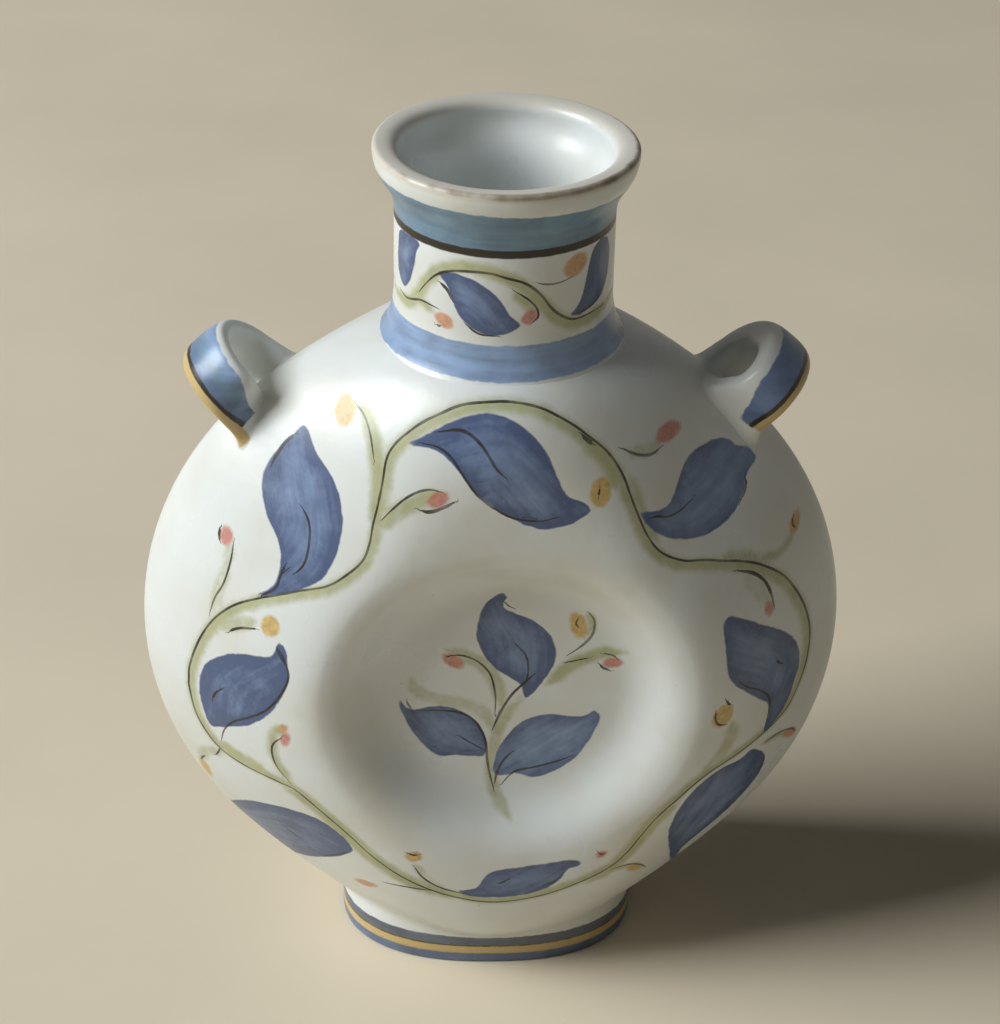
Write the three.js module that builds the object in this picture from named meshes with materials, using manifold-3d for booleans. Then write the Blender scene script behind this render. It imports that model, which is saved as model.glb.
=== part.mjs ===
// A pottery jug in the form of a pilgrim flask: two pressed dishes joined face to face, with a neck,
// a foot ring and two strap lugs luted on. Millimetres, +Z up. The foot stands on z = 0, the neck's
// axis is the Z axis, and the wide faces look along -Y and +Y.
import * as THREE from 'three';
import { mergeVertices } from 'three/addons/utils/BufferGeometryUtils.js';
import Module from 'manifold-3d';

const wasm = await Module();
wasm.setup();

// Clearance at every luted joint, where the slip was
const slipGap = 0.3;

// Body: each dish has a round dimple, a crest around it and a side that falls away to the seam
const bodyRadius = 90;
const bodyHalfDepth = 41; // from the seam to the crest
const bodyWall = 5;
const dimpleRadius = 27; // the flat floor of the dimple
const dimpleSlope = 19.7; // from the edge of that floor out to the crest
const dimpleDepth = 9;
const dimpleOffset = 3.3; // from the neck's axis to the middle of the dimple, as the hand pressed it
const edgeFullness = 0.26; // how far the side bulges at left and right: 0 is straight, 1 is square
const shoulderFullness = 0.81; // the same under the neck
const baseFullness = 0.72; // the same above the foot
const edgeSpan = THREE.MathUtils.degToRad(48); // from upright, where the leaner shape begins
const baseRecess = 1.2; // from the floor up to the lowest point of the body

// Coil pressed into the inside of the seam, on both sides of the neck's opening
const seamCoilRadius = 3;

// Neck
const neckRadius = 26.4;
const neckWall = 4.3;
const neckHeight = 43.2; // from the top of the body to the top of the rim
const rimFlare = 5.2; // how far the rim stands out from the neck
const rimFlareHeight = 17;
const lipThickness = 6;
const lipEdge = 1.2; // rounding of the lip's outer edge

// Coil worked into the angle between the neck and the shoulder
const neckCoilHeight = 9;
const neckCoilTop = 0.6; // its thickness at the top
const neckCoilFoot = 2.3; // its thickness on the shoulder

// Foot ring, an oval
const footHalfWidth = 39.3;
const footHalfDepth = 29;
const footWall = 6;
const footSquareness = 2.4; // 2 is an ellipse, and more fills out its corners

// Strap lugs on the shoulders, each an arch from the front face over the seam to the back face
const lugAngle = THREE.MathUtils.degToRad(48); // above the horizontal, about the body's centre
const lugStandOff = 16; // from the body's edge to the middle of the strap at its crest
const lugHalfSpan = 12; // from the seam to the middle of either leg
const strapWidth = 13.5;
const strapThickness = 5;
const strapRounding = 1.4;

// Fineness of the curved surfaces
const aroundSteps = 48;
const dimpleSteps = 5;
const sideSteps = 8;
const curveSteps = 5;
const lugSteps = 10;
const coilSides = 4; // steps in half of a coil's section

// Sizes that follow from those above. Heights are measured from the centre of the body.
const crestRadius = dimpleRadius + dimpleSlope;
const bodyCentreHeight = baseRecess + bodyRadius;
const boreRadius = neckRadius - neckWall;
const rimRadius = neckRadius + rimFlare;
const rimTop = bodyRadius + neckHeight;

// A closed mesh as a solid for cutting, with its shared vertices merged.
function toSolid(geometry) {
  const bare = geometry.clone();
  bare.deleteAttribute('normal');
  bare.deleteAttribute('uv');
  const merged = mergeVertices(bare);
  const vertProperties = new Float32Array(merged.getAttribute('position').array);
  const triVerts = new Uint32Array(merged.getIndex().array);
  return new wasm.Manifold(new wasm.Mesh({ numProp: 3, vertProperties, triVerts }));
}

function toGeometry(solid) {
  const { vertProperties, triVerts } = solid.getMesh();
  const geometry = new THREE.BufferGeometry();
  geometry.setAttribute('position', new THREE.BufferAttribute(vertProperties, 3));
  geometry.setIndex(new THREE.BufferAttribute(triVerts, 1));
  geometry.computeVertexNormals();
  return geometry;
}

function cut(geometry, cutter) {
  return toGeometry(toSolid(geometry).subtract(toSolid(cutter)));
}

// A closed skin over a row of rings of equal count, with a point at either end.
function skin(start, rings, end) {
  const points = [start, ...rings.flat(), end];
  const count = rings[0].length;
  const last = rings.length - 1;
  const at = (ring, step) => 1 + ring * count + (step % count);
  const index = [];
  for (let step = 0; step < count; step++) {
    index.push(0, at(0, step), at(0, step + 1));
    for (let ring = 0; ring < last; ring++) {
      index.push(at(ring, step), at(ring + 1, step), at(ring + 1, step + 1));
      index.push(at(ring, step), at(ring + 1, step + 1), at(ring, step + 1));
    }
    index.push(at(last, step), points.length - 1, at(last, step + 1));
  }
  const geometry = new THREE.BufferGeometry().setFromPoints(points);
  geometry.setIndex(index);
  return geometry;
}

// A line across a dish, from the edge of the dimple's floor out to the seam, as (radius, depth)
// points. A positive growth lies outside the clay, and a negative one inside it.
function dishLine(angle, growth, seamDepth) {
  const fromUpright = Math.asin(Math.abs(Math.cos(angle)));
  const edgeward = THREE.MathUtils.smoothstep(fromUpright, 0, edgeSpan);
  const uprightFullness = Math.sin(angle) > 0 ? shoulderFullness : baseFullness;
  const fullness = THREE.MathUtils.lerp(uprightFullness, edgeFullness, edgeward);
  const crestDepth = bodyHalfDepth + growth;
  const floorDepth = crestDepth - dimpleDepth;
  const edge = bodyRadius + growth;
  const slopeMiddle = dimpleRadius + dimpleSlope / 2;
  const dimple = new THREE.CubicBezierCurve(
    new THREE.Vector2(dimpleRadius, floorDepth),
    new THREE.Vector2(slopeMiddle, floorDepth),
    new THREE.Vector2(slopeMiddle, crestDepth),
    new THREE.Vector2(crestRadius, crestDepth),
  );
  const side = new THREE.CubicBezierCurve(
    new THREE.Vector2(crestRadius, crestDepth),
    new THREE.Vector2(crestRadius + fullness * (edge - crestRadius), crestDepth),
    new THREE.Vector2(edge, fullness * crestDepth),
    new THREE.Vector2(edge, seamDepth),
  );
  return [...dimple.getPoints(dimpleSteps), ...side.getPoints(sideSteps).slice(1)];
}

// A point of a face of the body. Facing is -1 in front and 1 at the back. The dimple stands off the
// neck's axis, to the right as each face is looked at, and the seam doesn't.
function facePoint(angle, radius, depth, facing) {
  const offset = -facing * dimpleOffset;
  const offCentre = offset * (1 - THREE.MathUtils.smoothstep(radius, crestRadius, bodyRadius));
  return new THREE.Vector3(offCentre + radius * Math.cos(angle), facing * depth, radius * Math.sin(angle));
}

// One face of the body as rings from the dimple to the seam.
function dishRings(growth, seamDepth, facing) {
  const rings = [];
  for (let step = 0; step < aroundSteps; step++) {
    const angle = (2 * Math.PI * step) / aroundSteps;
    dishLine(angle, growth, seamDepth).forEach((point, ring) => {
      rings[ring] ??= [];
      rings[ring].push(facePoint(angle, point.x, point.y, facing));
    });
  }
  return rings;
}

function dishMiddle(growth, facing) {
  return facePoint(0, 0, bodyHalfDepth - dimpleDepth + growth, facing);
}

// The space that the body takes, with the slip on it, which trims what is luted to the outside.
function bodyEnvelope() {
  const front = dishRings(slipGap, 0, -1);
  const back = dishRings(slipGap, 0, 1).reverse().slice(1);
  return skin(dishMiddle(slipGap, -1), [...front, ...back], dishMiddle(slipGap, 1));
}

// A solid of revolution about the Z axis from a closed path of (radius, height).
function turned(path) {
  return new THREE.LatheGeometry(path.getPoints(curveSteps), aroundSteps).rotateX(Math.PI / 2);
}

// A dish, seen as the front one, with its half of the opening under the neck.
function dish() {
  const outside = dishRings(0, slipGap / 2, -1);
  const inside = dishRings(-bodyWall, slipGap / 2, -1).reverse();
  const shell = skin(dishMiddle(0, -1), [...outside, ...inside], dishMiddle(-bodyWall, -1));
  const opening = new THREE.CylinderGeometry(boreRadius, boreRadius, rimTop, aroundSteps);
  opening.rotateX(Math.PI / 2).translate(0, 0, rimTop / 2);
  return cut(shell, opening);
}

// The part of a ring in the plane of the seam that runs below the neck's opening.
class SeamArc extends THREE.Curve {
  constructor(radius, halfGap) {
    super();
    this.radius = radius;
    this.halfGap = halfGap;
  }

  getPoint(t, target = new THREE.Vector3()) {
    const angle = Math.PI / 2 + this.halfGap + t * 2 * (Math.PI - this.halfGap);
    return target.set(this.radius * Math.cos(angle), 0, this.radius * Math.sin(angle));
  }
}

function seamCoil() {
  const radius = bodyRadius - bodyWall - slipGap - seamCoilRadius;
  const halfGap = Math.asin((boreRadius + seamCoilRadius) / radius);
  const section = new THREE.Shape().absarc(0, 0, seamCoilRadius, 0, 2 * Math.PI);
  return new THREE.ExtrudeGeometry(section, {
    extrudePath: new SeamArc(radius, halfGap),
    steps: aroundSteps,
    curveSegments: coilSides,
  });
}

function neck(envelope) {
  const flareStart = rimTop - rimFlareHeight;
  const flareMiddle = rimTop - rimFlareHeight / 2;
  const lipHeight = rimTop - lipThickness / 2;
  const lipInside = rimRadius - lipThickness;
  const lipTop = rimRadius - lipEdge;
  const line = new THREE.Path();
  line.moveTo(neckRadius, crestRadius);
  line.lineTo(neckRadius, flareStart);
  line.bezierCurveTo(neckRadius, flareMiddle, rimRadius, flareMiddle, rimRadius, rimTop - lipEdge);
  line.absarc(lipTop, rimTop - lipEdge, lipEdge, 0, Math.PI / 2, false);
  line.bezierCurveTo(rimRadius - lipThickness / 2, rimTop, lipInside, rimTop, lipInside, lipHeight);
  line.bezierCurveTo(lipInside, flareMiddle, boreRadius, flareMiddle, boreRadius, flareStart);
  line.lineTo(boreRadius, crestRadius);
  line.closePath();
  return cut(turned(line), envelope);
}

function neckCoil(envelope) {
  const inside = neckRadius + slipGap;
  const outside = inside + neckCoilFoot;
  const seat = Math.sqrt(bodyRadius ** 2 - outside ** 2);
  const top = seat + neckCoilHeight;
  const topOutside = inside + neckCoilTop;
  const line = new THREE.Path();
  line.moveTo(outside, crestRadius);
  line.lineTo(outside, seat);
  line.quadraticCurveTo(topOutside, seat, topOutside, top);
  line.lineTo(inside, top);
  line.lineTo(inside, crestRadius);
  line.closePath();
  return cut(turned(line), envelope);
}

function ovalPoints(halfWidth, halfDepth) {
  const bulge = (value) => Math.sign(value) * Math.abs(value) ** (2 / footSquareness);
  return Array.from({ length: aroundSteps }, (_, step) => {
    const angle = (2 * Math.PI * step) / aroundSteps;
    return new THREE.Vector2(halfWidth * bulge(Math.cos(angle)), halfDepth * bulge(Math.sin(angle)));
  });
}

function footRing(envelope) {
  const outline = new THREE.Shape(ovalPoints(footHalfWidth, footHalfDepth));
  outline.holes.push(new THREE.Path(ovalPoints(footHalfWidth - footWall, footHalfDepth - footWall)));
  const ring = new THREE.ExtrudeGeometry(outline, {
    depth: bodyCentreHeight - crestRadius,
    bevelEnabled: false,
  });
  return cut(ring.translate(0, 0, -bodyCentreHeight), envelope);
}

// The right-hand lug: an arch drawn across the seam, as wide as the strap, trimmed to the body.
function lug(envelope) {
  const outer = lugHalfSpan + strapThickness / 2;
  const inner = lugHalfSpan - strapThickness / 2;
  const archHeight = bodyRadius + lugStandOff - lugHalfSpan;
  const legEnd = (crestRadius + bodyRadius) / 2;
  const arch = new THREE.Shape();
  arch.moveTo(outer, legEnd);
  arch.lineTo(outer, archHeight);
  arch.absarc(0, archHeight, outer, 0, Math.PI, false);
  arch.lineTo(-outer, legEnd);
  arch.lineTo(-inner, legEnd);
  arch.lineTo(-inner, archHeight);
  arch.absarc(0, archHeight, inner, Math.PI, 0, true);
  arch.lineTo(inner, legEnd);
  const strap = new THREE.ExtrudeGeometry(arch, {
    depth: strapWidth - 2 * strapRounding,
    curveSegments: lugSteps,
    bevelSize: strapRounding,
    bevelThickness: strapRounding,
    bevelOffset: -strapRounding,
    bevelSegments: 2,
  });
  strap.translate(0, 0, strapRounding - strapWidth / 2);
  const acrossSeam = new THREE.Vector3(0, 1, 0);
  const outward = new THREE.Vector3(Math.cos(lugAngle), 0, Math.sin(lugAngle));
  const alongEdge = new THREE.Vector3().crossVectors(acrossSeam, outward);
  strap.applyMatrix4(new THREE.Matrix4().makeBasis(acrossSeam, outward, alongEdge));
  return cut(strap, envelope);
}

// The same shape serves again where a piece repeats, turned half round about the neck's axis.
function piece(name, geometry, color, roughness, turn = 0) {
  const material = new THREE.MeshStandardMaterial({ color, roughness, metalness: 0 });
  const mesh = new THREE.Mesh(geometry, material);
  mesh.name = name;
  mesh.rotation.z = turn;
  return mesh;
}

const envelope = bodyEnvelope();
const dishShape = dish();
const lugShape = lug(envelope);

const jug = new THREE.Group();
jug.position.z = bodyCentreHeight;
jug.add(
  piece('body_front', dishShape, '#e6ecec', 0.25),
  piece('body_back', dishShape, '#e6ecec', 0.25, Math.PI),
  piece('seam_coil', seamCoil(), '#cdbfa8', 0.8),
  piece('neck', neck(envelope), '#e6ecec', 0.25),
  piece('neck_coil', neckCoil(envelope), '#8fa9d2', 0.25),
  piece('foot_ring', footRing(envelope), '#5d74a6', 0.3),
  piece('handle_left', lugShape, '#5a70a8', 0.25, Math.PI),
  piece('handle_right', lugShape, '#5a70a8', 0.25),
);

export default jug;
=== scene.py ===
"""A glazed and painted pottery jug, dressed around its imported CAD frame.

The file is laid out as an add-on: the sizes and colours are properties, each piece has an operator, and a
panel in the sidebar lists them. Blender's lengths are metres. Shapes and brushwork are worked out in
millimetres, with heights measured from the centre of the round body.
"""
import math
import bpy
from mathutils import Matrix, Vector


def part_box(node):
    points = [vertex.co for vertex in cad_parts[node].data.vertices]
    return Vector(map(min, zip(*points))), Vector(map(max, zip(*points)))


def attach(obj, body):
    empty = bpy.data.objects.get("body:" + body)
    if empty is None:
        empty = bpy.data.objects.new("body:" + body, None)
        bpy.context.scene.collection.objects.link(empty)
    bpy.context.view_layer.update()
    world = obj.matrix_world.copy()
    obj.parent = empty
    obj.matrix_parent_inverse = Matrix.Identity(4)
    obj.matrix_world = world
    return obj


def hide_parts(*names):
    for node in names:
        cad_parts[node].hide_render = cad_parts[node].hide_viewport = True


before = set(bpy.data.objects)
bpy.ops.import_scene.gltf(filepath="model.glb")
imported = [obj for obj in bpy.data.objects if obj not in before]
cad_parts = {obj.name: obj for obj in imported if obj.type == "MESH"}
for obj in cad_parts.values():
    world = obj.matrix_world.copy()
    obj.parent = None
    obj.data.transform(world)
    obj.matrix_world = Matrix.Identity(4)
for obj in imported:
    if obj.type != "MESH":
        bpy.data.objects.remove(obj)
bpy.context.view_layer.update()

from types import SimpleNamespace

import bpy
import numpy as np
from bpy.props import FloatProperty, FloatVectorProperty, IntProperty, PointerProperty
from mathutils import Matrix, Vector

BODY_LOW, BODY_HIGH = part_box("body_front")
NECK_LOW, NECK_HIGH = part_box("neck")
FOOT_LOW, FOOT_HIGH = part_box("foot_ring")

bl_info = {
    "name": "Pottery jug",
    "version": (1, 0, 0),
    "blender": (4, 5, 0),
    "location": "3D View > Sidebar > Jug",
    "description": "Builds a painted pottery jug around its CAD frame",
    "category": "Add Mesh",
}

# The wreath on the wide face: millimetres right of and above the centre of the body, as the face is
# looked at. A leaf has how much more than usual the brush held, the foot, middle and tip of its rib, which
# its wash runs along, and its outline.
LEAVES = (
    (0.08, ((-57, 27), (-44, 42), (-47, 66)), (
        (-46, 67), (-49, 64.5), (-52, 61.5), (-54.8, 57.5), (-56.7, 54), (-57, 50), (-55.8, 45.4),
        (-53.4, 41.5), (-52.3, 38), (-52.8, 34), (-54, 30.3), (-58.8, 25.7), (-50.3, 29.4),
        (-45.6, 32.2), (-41.7, 35.3), (-39, 40), (-37.4, 45.4), (-36.9, 50), (-37.8, 55.6),
        (-40.2, 59.5), (-43.5, 62.8),
    )),
    (0.1, ((-21, 71), (2, 76), (21, 57)), (
        (-21.8, 70.5), (-16, 74.3), (-12, 76.8), (-8, 78.5), (-4, 79.4), (0, 79.2), (3.5, 78), (6.5, 76),
        (9.5, 73), (11.5, 70), (13, 66.5), (14.3, 63.5), (16, 60.5), (20, 58.5), (21.8, 56.6),
        (20, 54.8), (17, 53), (13.5, 52), (10, 51.8), (6.5, 52.8), (3, 54.8), (-0.5, 57), (-5, 60.5),
        (-7.5, 63.5), (-10, 66.5), (-13, 69.3), (-16, 70.6),
    )),
    (-0.12, ((34, 53), (46, 47), (64, 55)), (
        (33.3, 54), (37, 53.4), (40, 53.5), (41.8, 55.3), (42.8, 57.8), (44.3, 60.5), (46.5, 62.3),
        (50, 62.8), (53.5, 62.5), (56.5, 61.3), (58.5, 59.3), (61, 58.3), (63, 56.5), (64, 54.6),
        (62, 53.4), (60.8, 52), (60.6, 50), (59, 47.5), (56.5, 45.5), (53, 44.3), (49, 43.9), (45, 44.6),
        (41.5, 45.8), (38, 47.8), (35.5, 50.3),
    )),
    (0.05, ((70, -17), (76, 4), (57, 22)), (
        (55.2, 22), (57, 23.7), (59.4, 22.5), (64.5, 18.9), (70.9, 13.7), (74.9, 9.4), (77.4, 4.2),
        (77.7, -1.4), (76.5, -6.9), (74.9, -11.7), (72.5, -14.9), (69.3, -17.2), (69, -14.5),
        (69.5, -10.9), (68.9, -6.9), (66.1, -3.4), (62.2, 1), (58.2, 5.8), (56.6, 10.6), (56, 16.1),
    )),
    (0.1, ((66, -21), (58, -42), (49, -66)), (
        (65.7, -20.7), (68, -22.6), (70.1, -26), (70.9, -30.8), (70.1, -36.4), (67.7, -41.1),
        (63.8, -46.7), (59, -52.3), (54.2, -57.1), (51, -61), (50.8, -67), (49.6, -71), (48.4, -66),
        (47, -56), (45.9, -49.1), (45.5, -42.7), (46.3, -36.4), (48.2, -30.8), (51.4, -26), (55, -23.2),
        (59, -22), (63, -22.2),
    )),
    (0.05, ((-10, -58.5), (6, -58), (22, -48.5)), (
        (-10, -58), (-4, -56.4), (-2.4, -53.4), (0, -50.8), (6.3, -49.4), (13.8, -48.1), (20, -47.1),
        (23, -47.9), (22.4, -49.5), (19.4, -50.8), (17.5, -54.4), (13.1, -57.6), (7.5, -59.3), (0, -60),
        (-6, -59.4),
    )),
    (0.28, ((-36, -50), (-52, -47), (-68, -58)), (
        (-35.6, -49.4), (-36.3, -46.3), (-39.4, -42.5), (-43.8, -39.4), (-48.8, -38.8), (-55, -40),
        (-62.5, -43.8), (-67.5, -50), (-69.6, -56), (-69, -60), (-63, -65), (-54, -68.5), (-49.4, -64.4),
        (-43.8, -58.8), (-38.8, -53.8),
    )),
    (0.26, ((-70, -17), (-66, 0), (-52, 15)), (
        (-52.5, 16.6), (-50.9, 14.2), (-50.7, 10.3), (-50.4, 7.2), (-51.5, 3.3), (-53.8, -2.2),
        (-57.3, -7.7), (-61.3, -12), (-65.2, -14.7), (-68.5, -17), (-71.8, -18.6), (-73.4, -14.7),
        (-74.4, -9.3), (-74.1, -3.8), (-72.2, 1.7), (-68.3, 6), (-63.6, 9.1), (-58.1, 10.7), (-55, 11.9),
        (-53.9, 14.4),
    )),
    (0.1, ((8, -3), (8, 14), (1, 28)), (
        (1.5, 28.5), (2.8, 27), (1.8, 25.4), (2.4, 23.6), (5, 22.4), (9.7, 20), (13.2, 16.5),
        (14.9, 12.7), (15.2, 9.2), (14, 5.2), (12, 1.7), (9.7, -1.8), (7.9, -3.2), (7, -1.6), (6.6, 0.6),
        (4.4, 2.5), (0.3, 5.5), (-2.9, 9.8), (-4.8, 15.1), (-4.3, 20.3), (-3.2, 24.4), (-0.8, 27),
    )),
    (0, ((-2, -19), (-13, -16), (-24, -4)), (
        (-24.5, -3.7), (-23.3, -3.9), (-22, -5.5), (-19.8, -6.7), (-16.6, -5.7), (-12.5, -5.5),
        (-8.4, -6.8), (-4.9, -9.7), (-2.9, -12.9), (-1.4, -16.4), (-1.5, -19.3), (-2.5, -21.2),
        (-6.7, -21), (-10.7, -20.9), (-13.7, -21.1), (-16.6, -18.8), (-20.1, -14.1), (-22.4, -9.4),
    )),
    (-0.1, ((1, -26), (13, -18), (26, -8)), (
        (25.1, -6.5), (26.5, -7.6), (26.7, -9.6), (25.4, -13.5), (23.4, -17.6), (20.8, -21.7),
        (17.3, -24.6), (13.2, -26.9), (9.7, -27.6), (6.2, -26.4), (3.2, -27), (0.6, -26.9), (0, -24.6),
        (0.9, -19.3), (3.3, -14.7), (6.2, -10.9), (10.3, -8.5), (14.9, -7.8), (19, -8.4), (22.8, -8.2),
    )),
    # The end of the low left leaf, where it runs over the seam from the other face
    (0.28, ((56, -66), (60, -63), (67, -57)), (
        (70.8, -56.3), (66.9, -57.2), (62.4, -59.2), (58.8, -61.9), (56.4, -65.6), (56, -69.2),
        (56.6, -71.2), (65, -65),
    )),
)
VINE = (
    (-77, -6), (-76.5, -1.4), (-73.8, 7.2), (-69.8, 15), (-64.4, 21.2), (-58.1, 25.5), (-52.7, 28.3),
    (-47.2, 31), (-40.9, 33.7), (-36.3, 37.2), (-32.3, 41.5), (-30.6, 46), (-29.8, 50.5), (-28.5, 56),
    (-27.5, 61), (-26.5, 66.5), (-24.5, 70), (-21.5, 73), (-18, 75.8), (-13.5, 78.3), (-10, 80),
    (-6, 81), (0, 81.6), (4.5, 81.3), (9, 80.3), (13, 78.5), (17.5, 75.8), (21, 73), (24.5, 70),
    (27.3, 66.5), (29.5, 62.5), (31, 58.5), (32.8, 54), (35, 49), (37.5, 45), (40.5, 42.3), (45, 40),
    (50, 38.8), (55, 37), (59, 35.5), (64.5, 32.6), (70.9, 27.3), (74.9, 21.7), (78.1, 15.3),
    (80.1, 8.2), (80.3, 1.8), (79.3, -4.6), (76.5, -11.7), (74.1, -14.5), (69.3, -16.9), (62.2, -19.3),
    (55.8, -21.3), (51, -24.4), (46.3, -29.2), (41.5, -34.8), (37.5, -41.9), (34.3, -47.5),
    (29.5, -52.3), (20, -57), (11.3, -60), (0, -61.6), (-11.3, -59.6), (-21.3, -55.6), (-30, -49.4),
    (-38.8, -40), (-48.8, -30.4), (-54.2, -28.8), (-64.4, -27.6), (-70.6, -24.9), (-75.3, -17.8),
    (-77, -9.3), (-77, -6),
)
# Thin dark lines: half width at the middle, and the points that the brush went through
LINES = (
    (0.26, ((-33.8, 74.6), (-32, 73.5), (-30.5, 70.5), (-29.4, 64.8))),
    (0.26, ((-27.5, 52.5), (-25, 55.5), (-22, 58.5), (-19, 60.5), (-16, 61.4), (-13.3, 60.9))),
    (0.42, ((-19.3, 56.3), (-16.5, 55.9), (-13.5, 57), (-10.3, 59))),
    (0.23, ((-64, 36.8), (-64.8, 32.2), (-66.7, 25.9), (-69.1, 21.2), (-70.8, 15.9))),
    (0.32, ((-67.2, 38.8), (-67.8, 37), (-67.6, 35.2))),
    (0.32, ((-65.9, 13.8), (-62.8, 16.1), (-58.5, 17.7))),
    (0.24, ((-51.1, -27.6), (-54.6, -22.5), (-55.6, -17.8), (-55, -14.7), (-52.6, -11.5))),
    (0.23, ((-69.6, -25.5), (-70.2, -27.8), (-71.2, -30))),
    (0.26, ((-74.4, -33.5), (-75.2, -35.2), (-75.6, -37))),
    (0.27, ((-20, -49.4), (-17.5, -53.8), (-13.1, -56.9), (-7, -58.8))),
    (0.26, ((-27.5, -59.1), (-22, -58.6), (-16, -58.4))),
    (0.3, ((31.1, -52.7), (35.9, -53.1), (39.1, -55.9), (40.8, -59.4))),
    (0.26, ((69.7, -21.7), (74.1, -21.7), (78.1, -24.4), (79.7, -27.6))),
    (0.35, ((58.2, 33.8), (63, 31.2), (66.1, 28.1), (68.1, 24.1), (69.2, 20.1))),
    (0.46, ((18.8, 74), (20.3, 72.6), (22, 71.2))),
    (0.3, ((28.5, 69.3), (32, 67), (35, 65.8), (37, 65.7), (38.8, 66.3))),
    (0.38, ((23.3, 61.6), (23.4, 60.5), (23.5, 59.4))),
    (0.3, ((54.7, -1.5), (54.7, -4), (55.6, -5.8), (57.4, -6.6))),
    (0.3, ((57.2, 1.2), (57.8, -0.2), (58.6, -1))),
    (0.32, ((25.6, 7.4), (27.2, 6), (29, 5.5))),
    (0.26, ((20.2, 20.9), (19.7, 19.4), (20, 18))),
    (0.34, ((-12.3, 9.8), (-11.6, 9.4), (-10.8, 9.4))),
    (0.3, ((26.8, -44.6), (28, -45.8), (29, -45.4))),
    (0.27, ((74, 39), (73.8, 37), (74.8, 35.6))),
    (0.26, ((-21.6, -45), (-20, -45.8), (-18.6, -45.4))),
    (0.3, ((-48.4, 64.6), (-51.1, 61.8), (-53.4, 58.3), (-54.8, 55.8))),
    (0.32, ((-47.3, 50), (-45.6, 47.8), (-45, 44.7), (-45.6, 40), (-46.8, 36.8), (-48.8, 34.5))),
    (0.29, ((-50.9, 36.1), (-52.3, 32.9), (-53.6, 29.6), (-57.6, 26.2))),
    (0.35, ((-14.8, 74.4), (-10, 75.5), (-7, 74.8), (-4.5, 72.8), (-2.5, 70), (-0.8, 67.3), (1.5, 65))),
    (0.3, (
        (-18.5, 71.5), (-15, 71.4), (-12.5, 70.3), (-10.5, 68.3), (-8, 64.5), (-5, 60.5), (-1, 57.3),
        (3, 55), (6.5, 54.3), (10, 54.1), (13.5, 55),
    )),
    (0.27, ((35.8, 52), (38, 51.8), (40.5, 51), (43.5, 51.3), (46.8, 52.8))),
    (0.3, ((60.6, 52.6), (60.9, 50.2), (59.4, 47.8))),
    (0.29, (
        (-53, 14), (-51.3, 11), (-50.7, 7.2), (-52.7, 1.7), (-56.6, -4.6), (-61.3, -9.3), (-65.2, -12.8),
        (-67.9, -17.1), (-69.1, -22.1),
    )),
    (0.57, ((-53.4, 14.4), (-52.4, 13), (-51.5, 11))),
    (0.27, ((-67.5, -3.2), (-69.8, -6.1), (-71, -9.3))),
    (0.26, ((70.6, 5.6), (71.4, 4.2), (72.6, 3))),
    (0.26, (
        (60.5, 4.8), (63.2, 1.9), (65.9, -0.3), (68.3, -3.1), (69.6, -5.8), (69.8, -8.6), (69, -16.2),
    )),
    (0.27, ((70.6, -27.6), (70.6, -32), (69.4, -36.6))),
    (0.26, ((4.5, -53), (3, -54.4), (1.6, -54.8))),
    (0.26, ((19, -51), (16.5, -54.2), (13.5, -55.8))),
    (0.26, ((-37, -50.5), (-40, -54), (-44, -57.8))),
    (0.26, ((-53.5, -51), (-51, -52.6), (-49.6, -53))),
    (0.26, ((5, 13.3), (7.3, 10.4), (8.2, 7.5), (8.2, 3.4), (7.3, 1.1))),
    (0.35, ((10.3, 4.6), (7.3, 1.4), (4.4, -2.1), (1.8, -7.1), (-0.4, -13.2))),
    (0.26, ((-11.9, 9.5), (-8.4, 9.8), (-4.9, 8.4), (-2.6, 6.3), (-0.8, 3.4), (0.3, -2.4), (0.3, -7.7))),
    (0.32, (
        (-19.2, -7), (-13.1, -7), (-8.4, -7.7), (-4.9, -10), (-2.6, -14.1), (-1.7, -18.2), (-1.4, -22.3),
        (-0.5, -27.5), (0.5, -31.3),
    )),
    (0.23, ((-8.7, -14.7), (-5.5, -17), (-2.3, -19.1))),
    (0.27, ((2.4, -29.6), (5.6, -25.8), (10.8, -24.3), (16.1, -22.6), (20.2, -20.8))),
    (0.32, ((5, -19.3), (2.7, -22.3), (1.2, -25.8), (0.6, -29.6))),
    (0.32, ((17.8, 9.8), (21.3, 12.7), (23.7, 15.7), (24.3, 18.6), (24, 20.9), (22.8, 22.8))),
    (0.21, ((16.7, 7.5), (20.2, 8.4), (23.6, 9.3))),
    (0.26, ((26.6, 10.3), (28.9, 10.1), (30.4, 9))),
    (0.2, ((1.6, 26.2), (2.7, 24.8), (4.4, 23.4))),
    (0.23, ((-21.8, -4), (-21.4, -5.2), (-20.4, -6.4))),
)
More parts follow.
